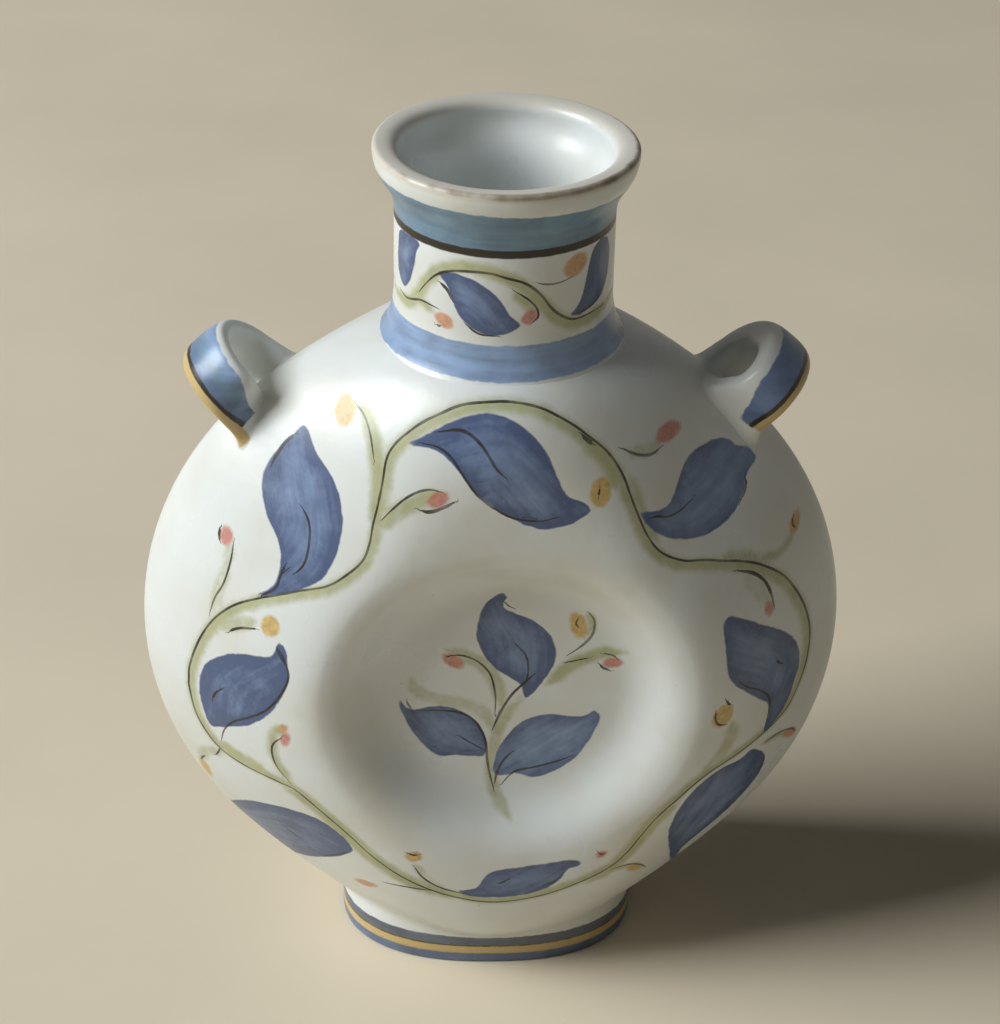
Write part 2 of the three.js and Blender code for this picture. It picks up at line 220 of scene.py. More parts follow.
# Wide pale strokes under the lines: how full the brush was, from 0 to 1, half width, and its points
WASHES = (
    (1, 2.2, ((-33.5, 75.5), (-31, 73), (-29.4, 69), (-28.6, 63), (-28.6, 56), (-30, 48))),
    (0.8, 2.1, ((-28.6, 50), (-26, 53), (-23, 55.6), (-18.5, 58.6), (-14, 61.2))),
    (0.45, 1.3, ((-64.6, 37), (-65.6, 31), (-67.6, 24.5), (-70.4, 17))),
    (0.65, 1.8, ((-69, 14), (-64, 16.6), (-58.5, 19.6))),
    (0.9, 1.6, ((-51.6, -7.4), (-54.6, -11), (-55.4, -16.5), (-54, -22), (-50, -28))),
    (0.9, 2.3, ((-70, -23.5), (-64, -25), (-57, -26.6))),
    (0.55, 1.5, ((-69, -26.5), (-74, -31), (-75.4, -36))),
    (0.45, 1.3, ((-19.6, -49), (-16.6, -54), (-12, -57.5))),
    (0.7, 1.5, ((31, -52.5), (35.6, -53.5), (38.6, -56.5))),
    (0.6, 1.9, ((59.4, -7), (59.2, -12), (56, -18), (52, -22.5))),
    (0.95, 1.3, ((69, -21.5), (74, -22.2), (77.6, -25.6))),
    (0.4, 1.7, ((61, 31), (64.6, 27.6), (67, 22.6))),
    (0.7, 1.2, ((64, 33.6), (70.5, 32.6), (74.4, 35))),
    (1, 2, ((19, 73), (23.6, 69), (26.4, 64.6), (27.6, 60.5))),
    (0.55, 1.3, ((30, 68), (35, 66.6), (38.4, 67))),
    (0.66, 1.7, (
        (4.7, -37.4), (2.1, -33.9), (0.3, -30), (-0.4, -24), (0.4, -17), (2.2, -9.7), (6.8, -3),
    )),
    (0.52, 1.7, (
        (0.3, -13.5), (-2, -8.4), (-5.5, -5.5), (-10.7, -4.4), (-16, -3), (-19.5, -0.4), (-21, 2.8),
    )),
    (0.66, 2, ((1.8, -5.3), (0.9, -0.7), (-0.8, 4), (-3.7, 7.5), (-7.8, 9.7), (-11.9, 11.4))),
    (0.85, 2.1, ((13.2, 1.1), (16.7, 4.8), (20.8, 8.1), (25.4, 10.3), (32.4, 11.3))),
    (0.8, 1.2, ((22.6, 22.5), (23.6, 19.5), (22.6, 15.5))),
    (0.85, 1.7, ((47.2, -29.9), (42.6, -35.4), (38.6, -42.4), (35.4, -48), (30.3, -53.5), (24, -56.8))),
    (0.9, 1.9, ((-10, -60.8), (-22, -56.4), (-30.7, -50.2), (-39.5, -40.8), (-47, -33.2), (-54, -29.6))),
    (0.7, 1.4, ((30.5, 63), (32, 59), (33.8, 54.4), (36, 49.4), (38.2, 45.8))),
    (0.75, 1.3, ((54.5, 38), (59.5, 36.4), (65, 33.6))),
)
# Berries: place, half length, half width, slant in degrees, and hue from 0, yellow, to 1, pink
BERRIES = (
    (-36.5, 72.8, 3.9, 2.6, 60, 0), (-55, 19.7, 3.4, 2.7, 70, 0), (23.8, 60.5, 4.1, 3, 88, 0),
    (74.6, 37, 3, 1.9, 80, 0.2), (56.6, -3.6, 4, 3.1, 80, 0), (-74.6, -40, 5, 1.9, -78, 0),
    (37.4, -56.4, 3.8, 1.7, -45, 0), (-20, -46.3, 2.8, 2.2, 10, 0.2), (-65.9, 37.2, 3.2, 1.9, 75, 1),
    (-14.5, 59, 3.6, 2.2, 35, 1), (40.5, 68.5, 3.8, 2.3, -5, 1), (67.7, 20.8, 2.8, 1.6, -70, 0.8),
    (78, -26, 4, 1.9, -60, 0.7), (-51.9, -12, 3, 1.6, 75, 1), (-52.4, -8.8, 1.9, 1.4, 80, 0.4),
    (-32.5, -62.8, 4, 1.8, 15, 0.75), (28, -45.9, 2, 1.6, 40, 1), (-10.4, 8, 3.8, 2.1, -35, 0.85),
    (20.4, 18.7, 5, 2.5, -72, 0), (29.2, 7.8, 3.2, 2, 8, 1),
)
# The frieze around the neck, painted in front and again behind: degrees to the right of the middle, and
# millimetres above the floor
FRIEZE_LEAVES = (
    (0.05, ((-65, 192), (-68, 199), (-58, 206)), (
        (-71.4, 205.1), (-65.2, 206.4), (-54.3, 206.4), (-50, 205.3), (-52.8, 202.9), (-54, 199.7),
        (-56.7, 196.1), (-60.5, 193.3), (-65.2, 192), (-72.2, 194.7), (-73.7, 199), (-72.6, 202.6),
    )),
    (0.12, ((-36, 200.5), (-14, 198), (7, 189)), (
        (-38, 200.6), (-28, 201.3), (-20.2, 200.8), (-12.5, 199.4), (-6.3, 197.2), (-1.6, 194.7),
        (1.5, 192.2), (6.9, 189.8), (6.5, 188.6), (1.5, 187.2), (-6.3, 186.4), (-14, 186.9),
        (-21.8, 188.9), (-27.2, 192.2), (-29.5, 194.7), (-32.6, 197.6),
    )),
    (0.1, ((36, 190), (56, 192), (58, 206)), (
        (34, 189.7), (38.7, 191.5), (41.8, 193.6), (44.1, 196.9), (46.4, 201.1), (49.5, 204.7),
        (55.7, 206.4), (62.7, 205.8), (66.6, 203.3), (67.4, 199), (65, 194.7), (59.6, 191.5),
        (49.5, 189.7), (40.2, 189.1),
    )),
)
FRIEZE_LINES = (
    (0.32, (
        (-50.5, 193.3), (-45, 196.5), (-38.8, 199.4), (-31.1, 201.3), (-21.8, 202.2), (-9.4, 202.4),
        (0, 201.3), (9.2, 199.9), (17, 196.9), (24.7, 192.2), (32.5, 189.4), (38.7, 188.4),
        (49.5, 188.3), (61.9, 188.3),
    )),
    (0.27, ((-69.8, 190.4), (-62.1, 189.7), (-55.9, 190.4), (-48.1, 191.4), (-37.3, 191))),
    (0.38, ((-36.5, 197.9), (-31.9, 196.5), (-28, 193.6))),
    (0.27, ((3, 198.3), (10.8, 195.8), (15.4, 193.3), (16.2, 191.1), (13.1, 189.7))),
    (0.23, ((15.4, 199.7), (21, 199.1), (27.8, 199), (35.6, 199.7))),
    (0.35, ((39.5, 189.5), (49.5, 190.1), (58.9, 191.5))),
    (0.24, ((-21.8, 188.9), (-14, 186.7), (-3.2, 186.5))),
    (0.38, ((-38.5, 186.7), (-37, 186.6), (-35.6, 186.8))),
    (0.23, ((66, 188.6), (80, 189.4), (92, 190.6), (102, 190.8))),
)
FRIEZE_WASHES = (
    (0.85, 2, (
        (-84, 189.6), (-72, 188.6), (-60, 189), (-52, 192), (-44, 197.6), (-34, 201.6), (-20, 203.4),
        (-6, 202.4), (7, 199.6), (17, 195), (26, 190.6), (36, 187.8), (52, 187.4), (68, 188.2),
        (84, 189.4),
    )),
    (0.8, 1.4, ((-60, 189.6), (-50, 191), (-40, 190))),
    (0.8, 1.4, ((3, 197.6), (10, 194.6), (14, 192))),
)
FRIEZE_BERRIES = (
    (-33.4, 188.4, 3.3, 2.2, -20, 0.7), (11.6, 191.2, 2.6, 2, 40, 1), (37.6, 202.4, 4.2, 3, 25, 0.45),
)

# The green stroke along the vine: load, half width, and how far aside of the vine's dark line it lies
VINE_LOAD, VINE_HALF_WIDTH, VINE_ASIDE = 0.85, 1.6, -0.8
VINE_LINE_HALF_WIDTH = 0.25
# Each leaf has a seed of its own for its streaks
LEAF_SEED_STEP = 1.7
FRIEZE_SEED, FRIEZE_SEED_STEP = 31, 2.3

# Height of the painted bands above the floor, in millimetres: lower edge and upper edge
NECK_UPPER_BAND = (207.2, 218.6)
NECK_BAND_FALL = 0.03  # how far the upper edge falls to the right, for each millimetre
NECK_DARK_BAND = (206, 208.4)
NECK_LOWER_BAND = (175.6, 184.3)
FOOT_LOW_BAND = (-1, 3.6)
FOOT_YELLOW_BAND = (2.8, 6)
FOOT_DARK_BAND = (5.2, 6)
FOOT_HIGH_BAND = (5, 8.9)
# Painted bands across a lug's strap, from its middle line, away from the neck
LUG_BLUE_END = 2.9
LUG_DARK_BAND = (2.2, 3.8)
LUG_YELLOW_BAND = (3.2, 7)

# Band hues: the same brush, loaded with more or less grey, green or white
SLATE, COBALT, TEAL, PALE = -0.5, 0.0, 0.5, 1.0
FOOT_LOW_HUE = COBALT - 0.22

# What a painted point holds, three numbers to a field, in millimetres where nothing else is said
# leaf: how far inside a leaf, how far along its rib from 0 to 1, how far across it
# brush: offset from a dark line in half widths, room beside that line, how far inside a green stroke
# second: offset and room for a second coat of lines, how much more than usual a leaf's brush held
# berry: how far inside a berry, its hue, nothing more
# wash: how far inside a blue band, its hue, how worn the glaze is from 0 to 1
# trim: how far inside a dark band, how far inside a yellow band, a leaf's seed
FIELDS = ("leaf", "brush", "second", "berry", "wash", "trim")
GREEN_COVER = (-0.8, 1.5)  # where a green stroke begins and is full, inside its edge
UNPAINTED = -3.0  # far outside any paint
FULLY_INSIDE = 3  # far enough inside a band
LINE_ROOM = 1.8  # how far from a dark line its fields are kept
EDGE_ROOM = 3  # how far outside a leaf or a green stroke its fields are kept
BERRY_ROOM = 2  # how far outside a berry its fields are kept

ROOT_SINK = 0.07  # how far the edge of a worked-in root lies under the skin of the body
REACH = 40  # how far from the body a foot or a lug begins at most
LUG_ROOT_HEIGHT = 14  # how far above the body a lug begins to widen into its root
STRAP_SQUARENESS = 2.9  # of a strap's section, where 2 is an ellipse
CREASE = math.radians(60)  # edges of neck and foot sharper than this stay sharp
# Rings on the dimple's floor, on its slope and on the side of the body, outside and inside
OUTSIDE_RINGS, INSIDE_RINGS = (20, 22, 60), (3, 8, 20)
INSIDE_COARSER = 4  # how many times fewer facets there are around the inside
# Facets around the opening under the neck, the neck, the foot, a strap and the seam coil
OPENING_FACETS, NECK_FACETS, FOOT_FACETS, STRAP_FACETS, COIL_FACETS = 128, 224, 200, 48, 20


def linear(hex_colour):
    """A colour written as sRGB hex, as the linear values that Blender uses."""
    parts = [int(hex_colour[i:i + 2], 16) / 255 for i in (1, 3, 5)]
    return [p / 12.92 if p <= 0.04045 else ((p + 0.055) / 1.055) ** 2.4 for p in parts]


def length(name, description, default):
    """A property that holds a length in metres."""
    return FloatProperty(
        name=name, description=description, default=default, subtype="DISTANCE", unit="LENGTH", precision=4
    )


def colour(name, description, hex_colour):
    """A property that holds a colour."""
    return FloatVectorProperty(
        name=name, description=description, default=linear(hex_colour), subtype="COLOR", min=0, max=1
    )


def share(name, description, default):
    """A property that holds a number without a unit, from 0 to 1."""
    return FloatProperty(
        name=name, description=description, default=default, subtype="FACTOR", min=0, max=1
    )


def angle(name, description, degrees):
    """A property that holds an angle."""
    return FloatProperty(
        name=name, description=description, default=math.radians(degrees), subtype="ANGLE", unit="ROTATION"
    )


class JugSizes(bpy.types.PropertyGroup):
    """Sizes of the jug. Those that the CAD boxes show are taken from them."""

    body_radius: length("Body radius", "From the middle of the body to its edge", BODY_HIGH.x)
    body_half_depth: length("Body half depth", "From the seam to the crest around the dimple", -BODY_LOW.y)
    body_wall: length("Body wall", "Thickness of the clay", 0.005)
    body_centre: length("Body centre", "Height of the middle of the body", BODY_LOW.z + BODY_HIGH.x)
    dimple_radius: length("Dimple floor", "Radius of the flat floor of the dimple", 0.027)
    dimple_slope: length("Dimple slope", "From the edge of the floor out to the crest", 0.0197)
    dimple_depth: length("Dimple depth", "From the crest in to the floor", 0.009)
    dimple_offset: length("Dimple offset", "From the neck's axis to the middle of the dimple", 0.0033)
    edge_fullness: share("Edge fullness", "How far the side bulges at left and right", 0.26)
    shoulder_fullness: share("Shoulder fullness", "How far the side bulges under the neck", 0.81)
    base_fullness: share("Base fullness", "How far the side bulges above the foot", 0.72)
    edge_span: angle("Edge span", "From upright, where the leaner side begins", 48)
    neck_radius: length("Neck radius", "Outside of the neck", 0.0264)
    bore_radius: length("Bore radius", "Inside of the neck", 0.0221)
    rim_radius: length("Rim radius", "Outside of the rim", NECK_HIGH.x)
    rim_top: length("Rim top", "Height of the rim", NECK_HIGH.z)
    rim_flare_height: length("Rim flare", "How far below its top the rim begins to flare", 0.017)
    lip_thickness: length("Lip", "Thickness of the rounded lip", 0.006)
    lip_edge: length("Lip edge", "Rounding of the lip's outer edge", 0.0012)
    neck_root_height: length("Neck root height", "How high the clay is worked up the neck", 0.0095)
    neck_root_width: length("Neck root width", "How far the clay is worked out over the shoulder", 0.0034)
    neck_lean: length("Neck lean", "How far the neck stands to the right, as the hand set it", 0.0012)
    foot_half_width: length("Foot half width", "Half of the foot ring's width", FOOT_HIGH.x)
    foot_half_depth: length("Foot half depth", "Half of the foot ring's depth", FOOT_HIGH.y)
    foot_wall: length("Foot wall", "Thickness of the foot ring", 0.006)
    foot_squareness: FloatProperty(
        name="Foot squareness",
        description="2 is an ellipse, and more fills out its corners",
        default=2.4,
        min=2,
    )
    lug_angle: angle("Lug angle", "Where a lug stands, above the horizontal", 48)
    lug_stand_off: length("Lug stand-off", "From the body's edge to the middle of the strap", 0.016)
    lug_half_span: length("Lug half span", "From the seam to the middle of either leg", 0.012)
    strap_width: length("Strap width", "Width of a lug's strap at its crest", 0.0135)
    strap_thickness: length("Strap thickness", "Thickness of a lug's strap", 0.005)
    seam_coil_radius: length("Seam coil", "Radius of the coil inside the seam", 0.003)
    unevenness: length("Unevenness", "How far the hand-made shape wanders", 0.00035)


class JugColours(bpy.types.PropertyGroup):
    """Colours of the glaze, the painting and the stage."""

    glaze: colour("Glaze", "White tin glaze", "#E3E8E8")
    glaze_thin: colour("Thin glaze", "Glaze where it lies thin and the clay warms it", "#D9D8CE")
    lip: colour("Lip", "Glaze drawn thin over the lip", "#D3CCBD")
    blue_thick: colour("Blue, thick", "Cobalt where the brush left much", "#445780")
    blue_thin: colour("Blue, thin", "Cobalt where the brush ran dry", "#839ABF")
    band_blue: colour("Blue band", "Cobalt of the bands on foot and lugs", "#566E98")
    slate: colour("Slate band", "Grey blue at the top of the foot", "#565E6E")
    band_yellow: colour("Yellow band", "Thin ochre of the bands on foot and lugs", "#CBAE69")
    teal: colour("Teal band", "Greener blue under the rim", "#66859E")
    pale_blue: colour("Pale blue", "Watered blue at the root of the neck", "#829BC0")
    green: colour("Green", "Olive wash of the vine", "#8F956A")
    green_thin: colour("Green, thin", "Vine wash where it ran dry", "#C4C48E")
    yellow: colour("Yellow", "Ochre yellow of berries", "#D4AE4F")
    pink: colour("Pink", "Iron pink of berries", "#C9796A")
    line: colour("Line", "Manganese brown of lines and the dark band", "#2B251C")
    clay: colour("Clay", "Fired buff earthenware", "#B59C78")
    worn: colour("Worn clay", "Bare clay darkened by handling", "#77644A")
    floor: colour("Floor", "Pale floor", "#E8DBC3")


class JugSettings(bpy.types.PropertyGroup):
    """All that the panel shows."""

    sizes: PointerProperty(type=JugSizes)
    colours: PointerProperty(type=JugColours)
    steps_around: IntProperty(
        name="Steps around", description="Facets around the body", default=448, min=48
    )


def in_millimetres(group):
    """A property group's numbers, with its lengths in millimetres."""
    values = {}
    for prop in group.bl_rna.properties:
        if prop.type == "FLOAT":
            value = getattr(group, prop.identifier)
            values[prop.identifier] = value * 1000 if prop.unit == "LENGTH" else value
    return SimpleNamespace(**values)


# Shape of the body


def smooth(value, low, high):
    """0 below low, 1 above high, and a soft step between."""
    t = np.clip((value - low) / (high - low), 0, 1)
    return t * t * (3 - 2 * t)


def bezier(t, a, b, c, d):
    """A cubic Bezier of four values or points."""
    return (1 - t) ** 3 * a + 3 * (1 - t) ** 2 * t * b + 3 * (1 - t) * t ** 2 * c + t ** 3 * d


def quadratic(t, a, b, c):
    """A quadratic Bezier of three points."""
    return (1 - t) ** 2 * a + 2 * t * (1 - t) * b + t ** 2 * c


def full_turn(count):
    """Angles of even steps around a full turn."""
    return 2 * np.pi * np.arange(count) / count


def squared_off(part, squareness):
    """The cosines or sines of an oval that is squarer than an ellipse, whose squareness is 2."""
    return np.sign(part) * np.abs(part) ** (2 / squareness)


def solve(rising, low, high, rounds=30):
    """Where a rising function of arrays crosses 0, by halving."""
    for _ in range(rounds):
        middle = (low + high) / 2
        below = rising(middle) < 0
        low = np.where(below, middle, low)
        high = np.where(below, high, middle)
    return (low + high) / 2


def crest_radius(s):
    """From the middle of the dimple to the crest around it."""
    return s.dimple_radius + s.dimple_slope


def off_centre(s, radius):
    """How far a ring of the face is shifted, because the dimple was pressed off the neck's axis."""
    return s.dimple_offset * (1 - smooth(radius, crest_radius(s), s.body_radius))


def side_fullness(s, cosine, sine):
    """How far the side bulges in a direction from the middle of the face."""
    edgeward = smooth(np.arcsin(np.clip(np.abs(cosine), 0, 1)), 0, s.edge_span)
    upright = np.where(sine > 0, s.shoulder_fullness, s.base_fullness)
    return upright + (s.edge_fullness - upright) * edgeward


def face_rings(s, angles, inset, steps, facing):
    """Rings of a face of the body, from the dimple's floor to the seam. Facing is -1 in front, 1 behind."""
    floor_steps, slope_steps, side_steps = steps
    cosine, sine = np.cos(angles), np.sin(angles)
    crest_depth = s.body_half_depth - inset
    floor_depth = crest_depth - s.dimple_depth
    crest, edge = crest_radius(s), s.body_radius - inset
    middle = s.dimple_radius + s.dimple_slope / 2
    fullness = side_fullness(s, cosine, sine)
    level = np.ones_like(angles)
    lines = []
    for i in range(1, floor_steps):
        lines.append((level * s.dimple_radius * i / floor_steps, level * floor_depth))
    for i in range(slope_steps):
        t = i / slope_steps
        radius = bezier(t, s.dimple_radius, middle, middle, crest)
        depth = bezier(t, floor_depth, floor_depth, crest_depth, crest_depth)
        lines.append((level * radius, level * depth))
    for i in range(side_steps + 1):
        t = i / side_steps
        radius = bezier(t, crest, crest + fullness * (edge - crest), edge, edge)
        lines.append((radius, bezier(t, crest_depth, crest_depth, fullness * crest_depth, 0)))
    rings = []
    for radius, depth in lines:
        shift = -facing * off_centre(s, radius)
        rings.append(np.stack([shift + radius * cosine, facing * depth, radius * sine], 1))
    return rings


def body_depth(s, x, h, rounds=8):
    """Depth of the front face at a place on it, and that place's radius."""
    radius = np.hypot(x, h)
    for _ in range(rounds):
        radius = np.hypot(x - off_centre(s, radius), h)
    safe = np.maximum(radius, 1e-6)
    fullness = side_fullness(s, (x - off_centre(s, radius)) / safe, h / safe)
    crest, nothing, one = crest_radius(s), np.zeros_like(radius), np.ones_like(radius)
    out = np.clip((radius - crest) / (s.body_radius - crest), 0, 1)
    t = solve(lambda q: bezier(q, 0, fullness, 1, 1) - out, nothing, one)
    side = s.body_half_depth * bezier(t, 1, 1, fullness, 0)
    out = np.clip((radius - s.dimple_radius) / s.dimple_slope, 0, 1)
    t = solve(lambda q: bezier(q, 0, 0.5, 0.5, 1) - out, nothing, one)
    dimple = s.body_half_depth - s.dimple_depth * (1 - bezier(t, 0, 0, 1, 1))
    return np.where(radius > crest, side, dimple), radius


def in_body(s, points):
    """Which points lie inside the outer skin of the body."""
    x, y, h = points.T
    depth, radius = body_depth(s, np.where(y < 0, x, -x), h)
    return (radius < s.body_radius) & (np.abs(y) < depth)


def land(s, points, direction, reach, rounds=26):
    """The points moved along a direction until they meet the outside of the body."""
    near, far = np.zeros(len(points)), np.full(len(points), float(reach))
    for _ in range(rounds):
        middle = (near + far) / 2
        inside = in_body(s, points + middle[:, None] * direction)
        far = np.where(inside, middle, far)
        near = np.where(inside, near, middle)
    return points + far[:, None] * direction


def hand_made(s, points):
    """The points with the slight wander of a hand-made shape, inwards. The foot stays flat on the floor."""
    x, y, h = points.T
    above_foot = smooth(h, -80, -50)
    at_neck = smooth(h, 50, 88) * (1 - smooth(np.abs(x), 32, 58))
    lean, wander = s.neck_lean * at_neck, s.unevenness * above_foot
    # Waves in millimetres for a radian, out of step with each other
    sideways = wander * (1 + np.sin(h / 23 + 0.7) * np.cos(y / 31 + 1.1))
    inwards = wander * (1 + np.sin(x / 27 + 2.1) * np.cos(h / 19 + 0.4))
    down = wander * 0.6 * (1 + np.sin(x / 21 + 0.3) * np.sin(y / 17 + 0.9))
    moved = points.copy()
    moved[:, 0] += lean - x / s.body_radius * sideways
    moved[:, 1] -= y / s.body_half_depth * inwards
    moved[:, 2] -= np.clip(h, 0, None) / s.body_radius * down
    return moved


# Meshes


def band_faces(rings, count, closed=False):
    """Quads between rings that follow each other, each of the same count of points."""
    step = np.arange(count)
    after = (step + 1) % count
    faces = []
    for ring in range(rings if closed else rings - 1):
        low, high = ring * count, ((ring + 1) % rings) * count
        faces += np.stack([low + step, low + after, high + after, high + step], 1).tolist()
    return faces


def fan_faces(hub, ring, count, outward):
    """Triangles from a hub point to a ring."""
    pairs = [(ring + i, ring + (i + 1) % count) for i in range(count)]
    return [(hub, a, b) if outward else (hub, b, a) for a, b in pairs]


def capped(rings, hubs, outward=True):
    """Points and faces of a tube through rings, with a fan from a hub point over each end."""
    count = len(rings[0])
    last = len(rings) * count
    faces = band_faces(len(rings), count)
    faces += fan_faces(last, 0, count, outward)
    faces += fan_faces(last + 1, last - count, count, not outward)
    return np.vstack([*rings, hubs]), faces


def inside_out(faces):
    """The faces, each turned to its other side."""
    return [face[::-1] for face in faces]


def new_piece(name, points, faces, s, crease=None):
    """A smooth object from points in millimetres about the body's centre."""
    mesh = bpy.data.meshes.new(name)
    raised = hand_made(s, np.asarray(points, float)) + np.array([0, 0, s.body_centre])
    mesh.from_pydata((raised / 1000).tolist(), [], faces)
    mesh.update()
    mesh.polygons.foreach_set("use_smooth", np.ones(len(mesh.polygons), bool))
    if crease is not None:
        mesh.set_sharp_from_angle(angle=crease)
    piece = bpy.data.objects.new(name, mesh)
    bpy.context.scene.collection.objects.link(piece)
    return piece


def dress(piece, material, nodes):
    """The piece gets its material, rides on the jug and stands for its CAD nodes."""
    piece.data.materials.clear()
    piece.data.materials.append(material)
    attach(piece, "root")
    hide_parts(*nodes)


# Brushwork: fields on a mesh's points, in millimetres, that the painted glaze draws from


def blank(count):
    """Fields with no paint on them."""
    fields = {name: np.zeros((count, 3)) for name in FIELDS}
    for name in ("leaf", "berry", "wash", "trim"):
        fields[name][:, 0] = UNPAINTED
    fields["trim"][:, 1] = UNPAINTED
    fields["brush"][:, 2] = UNPAINTED
    return fields


def spline(points, steps=8, closed=False):
    """A smooth line through points."""
    knots = np.array(points, float)
    first = knots[-2] if closed else 2 * knots[0] - knots[1]
    last = knots[1] if closed else 2 * knots[-1] - knots[-2]
    knots = np.vstack([first, knots, last])
    t = (np.arange(steps) / steps)[:, None]
    line = []
    for a, b, c, d in zip(knots, knots[1:], knots[2:], knots[3:]):
        bend = (2 * a - 5 * b + 4 * c - d) * t ** 2 + (3 * b - a - 3 * c + d) * t ** 3
        line.append(0.5 * (2 * b + (c - a) * t + bend))
    return np.vstack(line + [knots[-2]])


def nearest(places, line):
    """Each place's signed distance from a line, left of it positive, and how far along it that is."""
    best = np.full(len(places), 1e9)
    offset, along = np.zeros(len(places)), np.zeros(len(places))
    for i, (start, end) in enumerate(zip(line, line[1:])):
        run = end - start
        rel = places - start
        t = np.clip(rel @ run / (run @ run), 0, 1)
        away = np.linalg.norm(rel - t[:, None] * run, axis=1)
        side = np.where(run[0] * rel[:, 1] - run[1] * rel[:, 0] >= 0, 1, -1)
        take = away < best
        best = np.where(take, away, best)
        offset = np.where(take, side * away, offset)
        along = np.where(take, (i + t) / (len(line) - 1), along)
    return offset, along


def enclosed(places, outline):
    """Which places lie inside a closed outline."""
    x, y = places.T
    inside = np.zeros(len(places), bool)
    for (x1, y1), (x2, y2) in zip(outline, outline[1:]):
        if y1 != y2:
            inside ^= ((y1 > y) != (y2 > y)) & (x < (x2 - x1) * (y - y1) / (y2 - y1) + x1)
    return inside


def close_to(places, line, margin):
    """Which places lie in a line's box or within a margin around it."""
    low, high = line.min(0) - margin, line.max(0) + margin
    return np.flatnonzero(((places > low) & (places < high)).all(1))


def paint_leaf(fields, places, leaf, seed):
    """A leaf: how far inside its outline, how far along its rib and across it, and a seed for its wash."""
    load, rib, outline = (np.array(part, float) for part in leaf)
    edge = spline(np.vstack([outline, outline[:1]]), 4, closed=True)
    here = close_to(places, edge, EDGE_ROOM)
    from_edge, _ = nearest(places[here], edge)
    inside = np.where(enclosed(places[here], edge), 1, -1) * np.abs(from_edge)
    across, along = nearest(places[here], spline(rib))
    better = inside > fields["leaf"][here, 0]
    rows = here[better]
    fields["leaf"][rows] = np.stack([inside, along, across], 1)[better]
    fields["trim"][rows, 2] = seed
    fields["second"][rows, 2] = load


def paint_lines(fields, places, lines):
    """Thin dark lines in two coats, so that those that touch lie in different coats."""
    coats = {"brush": [], "second": []}
    for half_width, points in lines:
        line = spline(points, closed=points[0] == points[-1])
        room = {}
        for coat, others in coats.items():
            gaps = [np.linalg.norm(line[:, None] - other, axis=2).min() for other in others]
            room[coat] = min(gaps, default=np.inf)
        coat = max(room, key=room.get)
        coats[coat].append(line)
        paint_line(fields[coat], places, half_width, line, points[0] == points[-1])


def paint_line(field, places, half_width, line, closed):
    """A thin dark line, as its offset in half widths, and how much room there is to the next line."""
    here = close_to(places, line, LINE_ROOM)
    offset, along = nearest(places[here], line)
    room = LINE_ROOM - np.abs(offset)
    lightest, swell = 0.35, 1.6
    pressed = np.clip(np.sin(np.pi * along) * swell, 0, 1)
    pressure = 1 if closed else lightest + (1 - lightest) * pressed
    better = room > field[here, 1]
    rows = here[better]
    field[rows, 0] = (offset / (half_width * pressure))[better]
    field[rows, 1] = room[better]


def paint_wash(fields, places, load, half_width, points, aside=0, closed=False):
    """A wide pale stroke, as far aside of the points as is asked, and as dense as its load, from 0 to 1."""
    line = spline(points, closed=closed)
    here = close_to(places, line, half_width + EDGE_ROOM)
    offset, along = nearest(places[here], line)
    thinnest, swell = 0.3, 1.6
    fullness = 1 if closed else np.clip(thinnest + swell * np.sin(np.pi * along), 0, 1)
    inside = half_width * fullness - np.abs(offset - aside)
    inside = np.minimum(inside, np.interp(load, (0, 1), GREEN_COVER))
    fields["brush"][here, 2] = np.maximum(fields["brush"][here, 2], inside)


def paint_berry(fields, places, berry):
    """A berry: how far inside it, and its hue."""
    x, y, half_length, half_width, slant, hue = berry
    turn = math.radians(slant)
    axis = np.array([math.cos(turn), math.sin(turn)])
    rel = places - np.array([x, y])
    along, across = rel @ axis, rel @ np.array([-axis[1], axis[0]])
    inside = (1 - np.hypot(along / half_length, across / half_width)) * half_width
    rows = np.flatnonzero((inside > fields["berry"][:, 0]) & (inside > -BERRY_ROOM))
    fields["berry"][rows, 0] = inside[rows]
    fields["berry"][rows, 1] = hue


def paint_band(fields, name, column, rows, inside):
    """A band or wash, from how far inside it each of the rows lies."""
    held = np.clip(inside, UNPAINTED, FULLY_INSIDE)
    fields[name][rows, column] = np.maximum(fields[name][rows, column], held)


def between(value, edges):
    """How far inside two edges a value lies."""
    return np.minimum(value - edges[0], edges[1] - value)


def keep_fields(piece, fields):
    """Writes the fields on the points of a piece's mesh."""
    for name, values in fields.items():
        held = piece.data.attributes.new(name, "FLOAT_VECTOR", "POINT")
        held.data.foreach_set("vector", values.astype(np.float32).ravel())


def piece_points(piece, s):
    """A piece's points in millimetres about the body's centre, as made by hand."""
    points = np.empty(len(piece.data.vertices) * 3, np.float32)
    piece.data.vertices.foreach_get("co", points)
    return points.reshape(-1, 3).astype(float) * 1000 - np.array([0, 0, s.body_centre])


# Materials


def per_metre(millimetres):
    """The scale of a texture whose features have that size."""
    return 1000 / millimetres


def add(tree, kind, inputs=(), **settings):
    """A node with its settings, its inputs set or linked, as its outputs."""
    made = tree.nodes.new(kind)
    for name, value in settings.items():
        setattr(made, name, value)
    for key, value in dict(inputs).items():
        if isinstance(value, bpy.types.NodeSocket):
            tree.links.new(value, made.inputs[key])
        else:
            made.inputs[key].default_value = value
    return made.outputs


def new_material(name):
    """A material with an empty node tree, and that tree."""
    material = bpy.data.materials.new(name)
    material.use_nodes = True
    material.node_tree.nodes.clear()
    return material, material.node_tree


def rgba(value):
    """A colour with the fourth number that sockets take."""
    return (*value, 1)


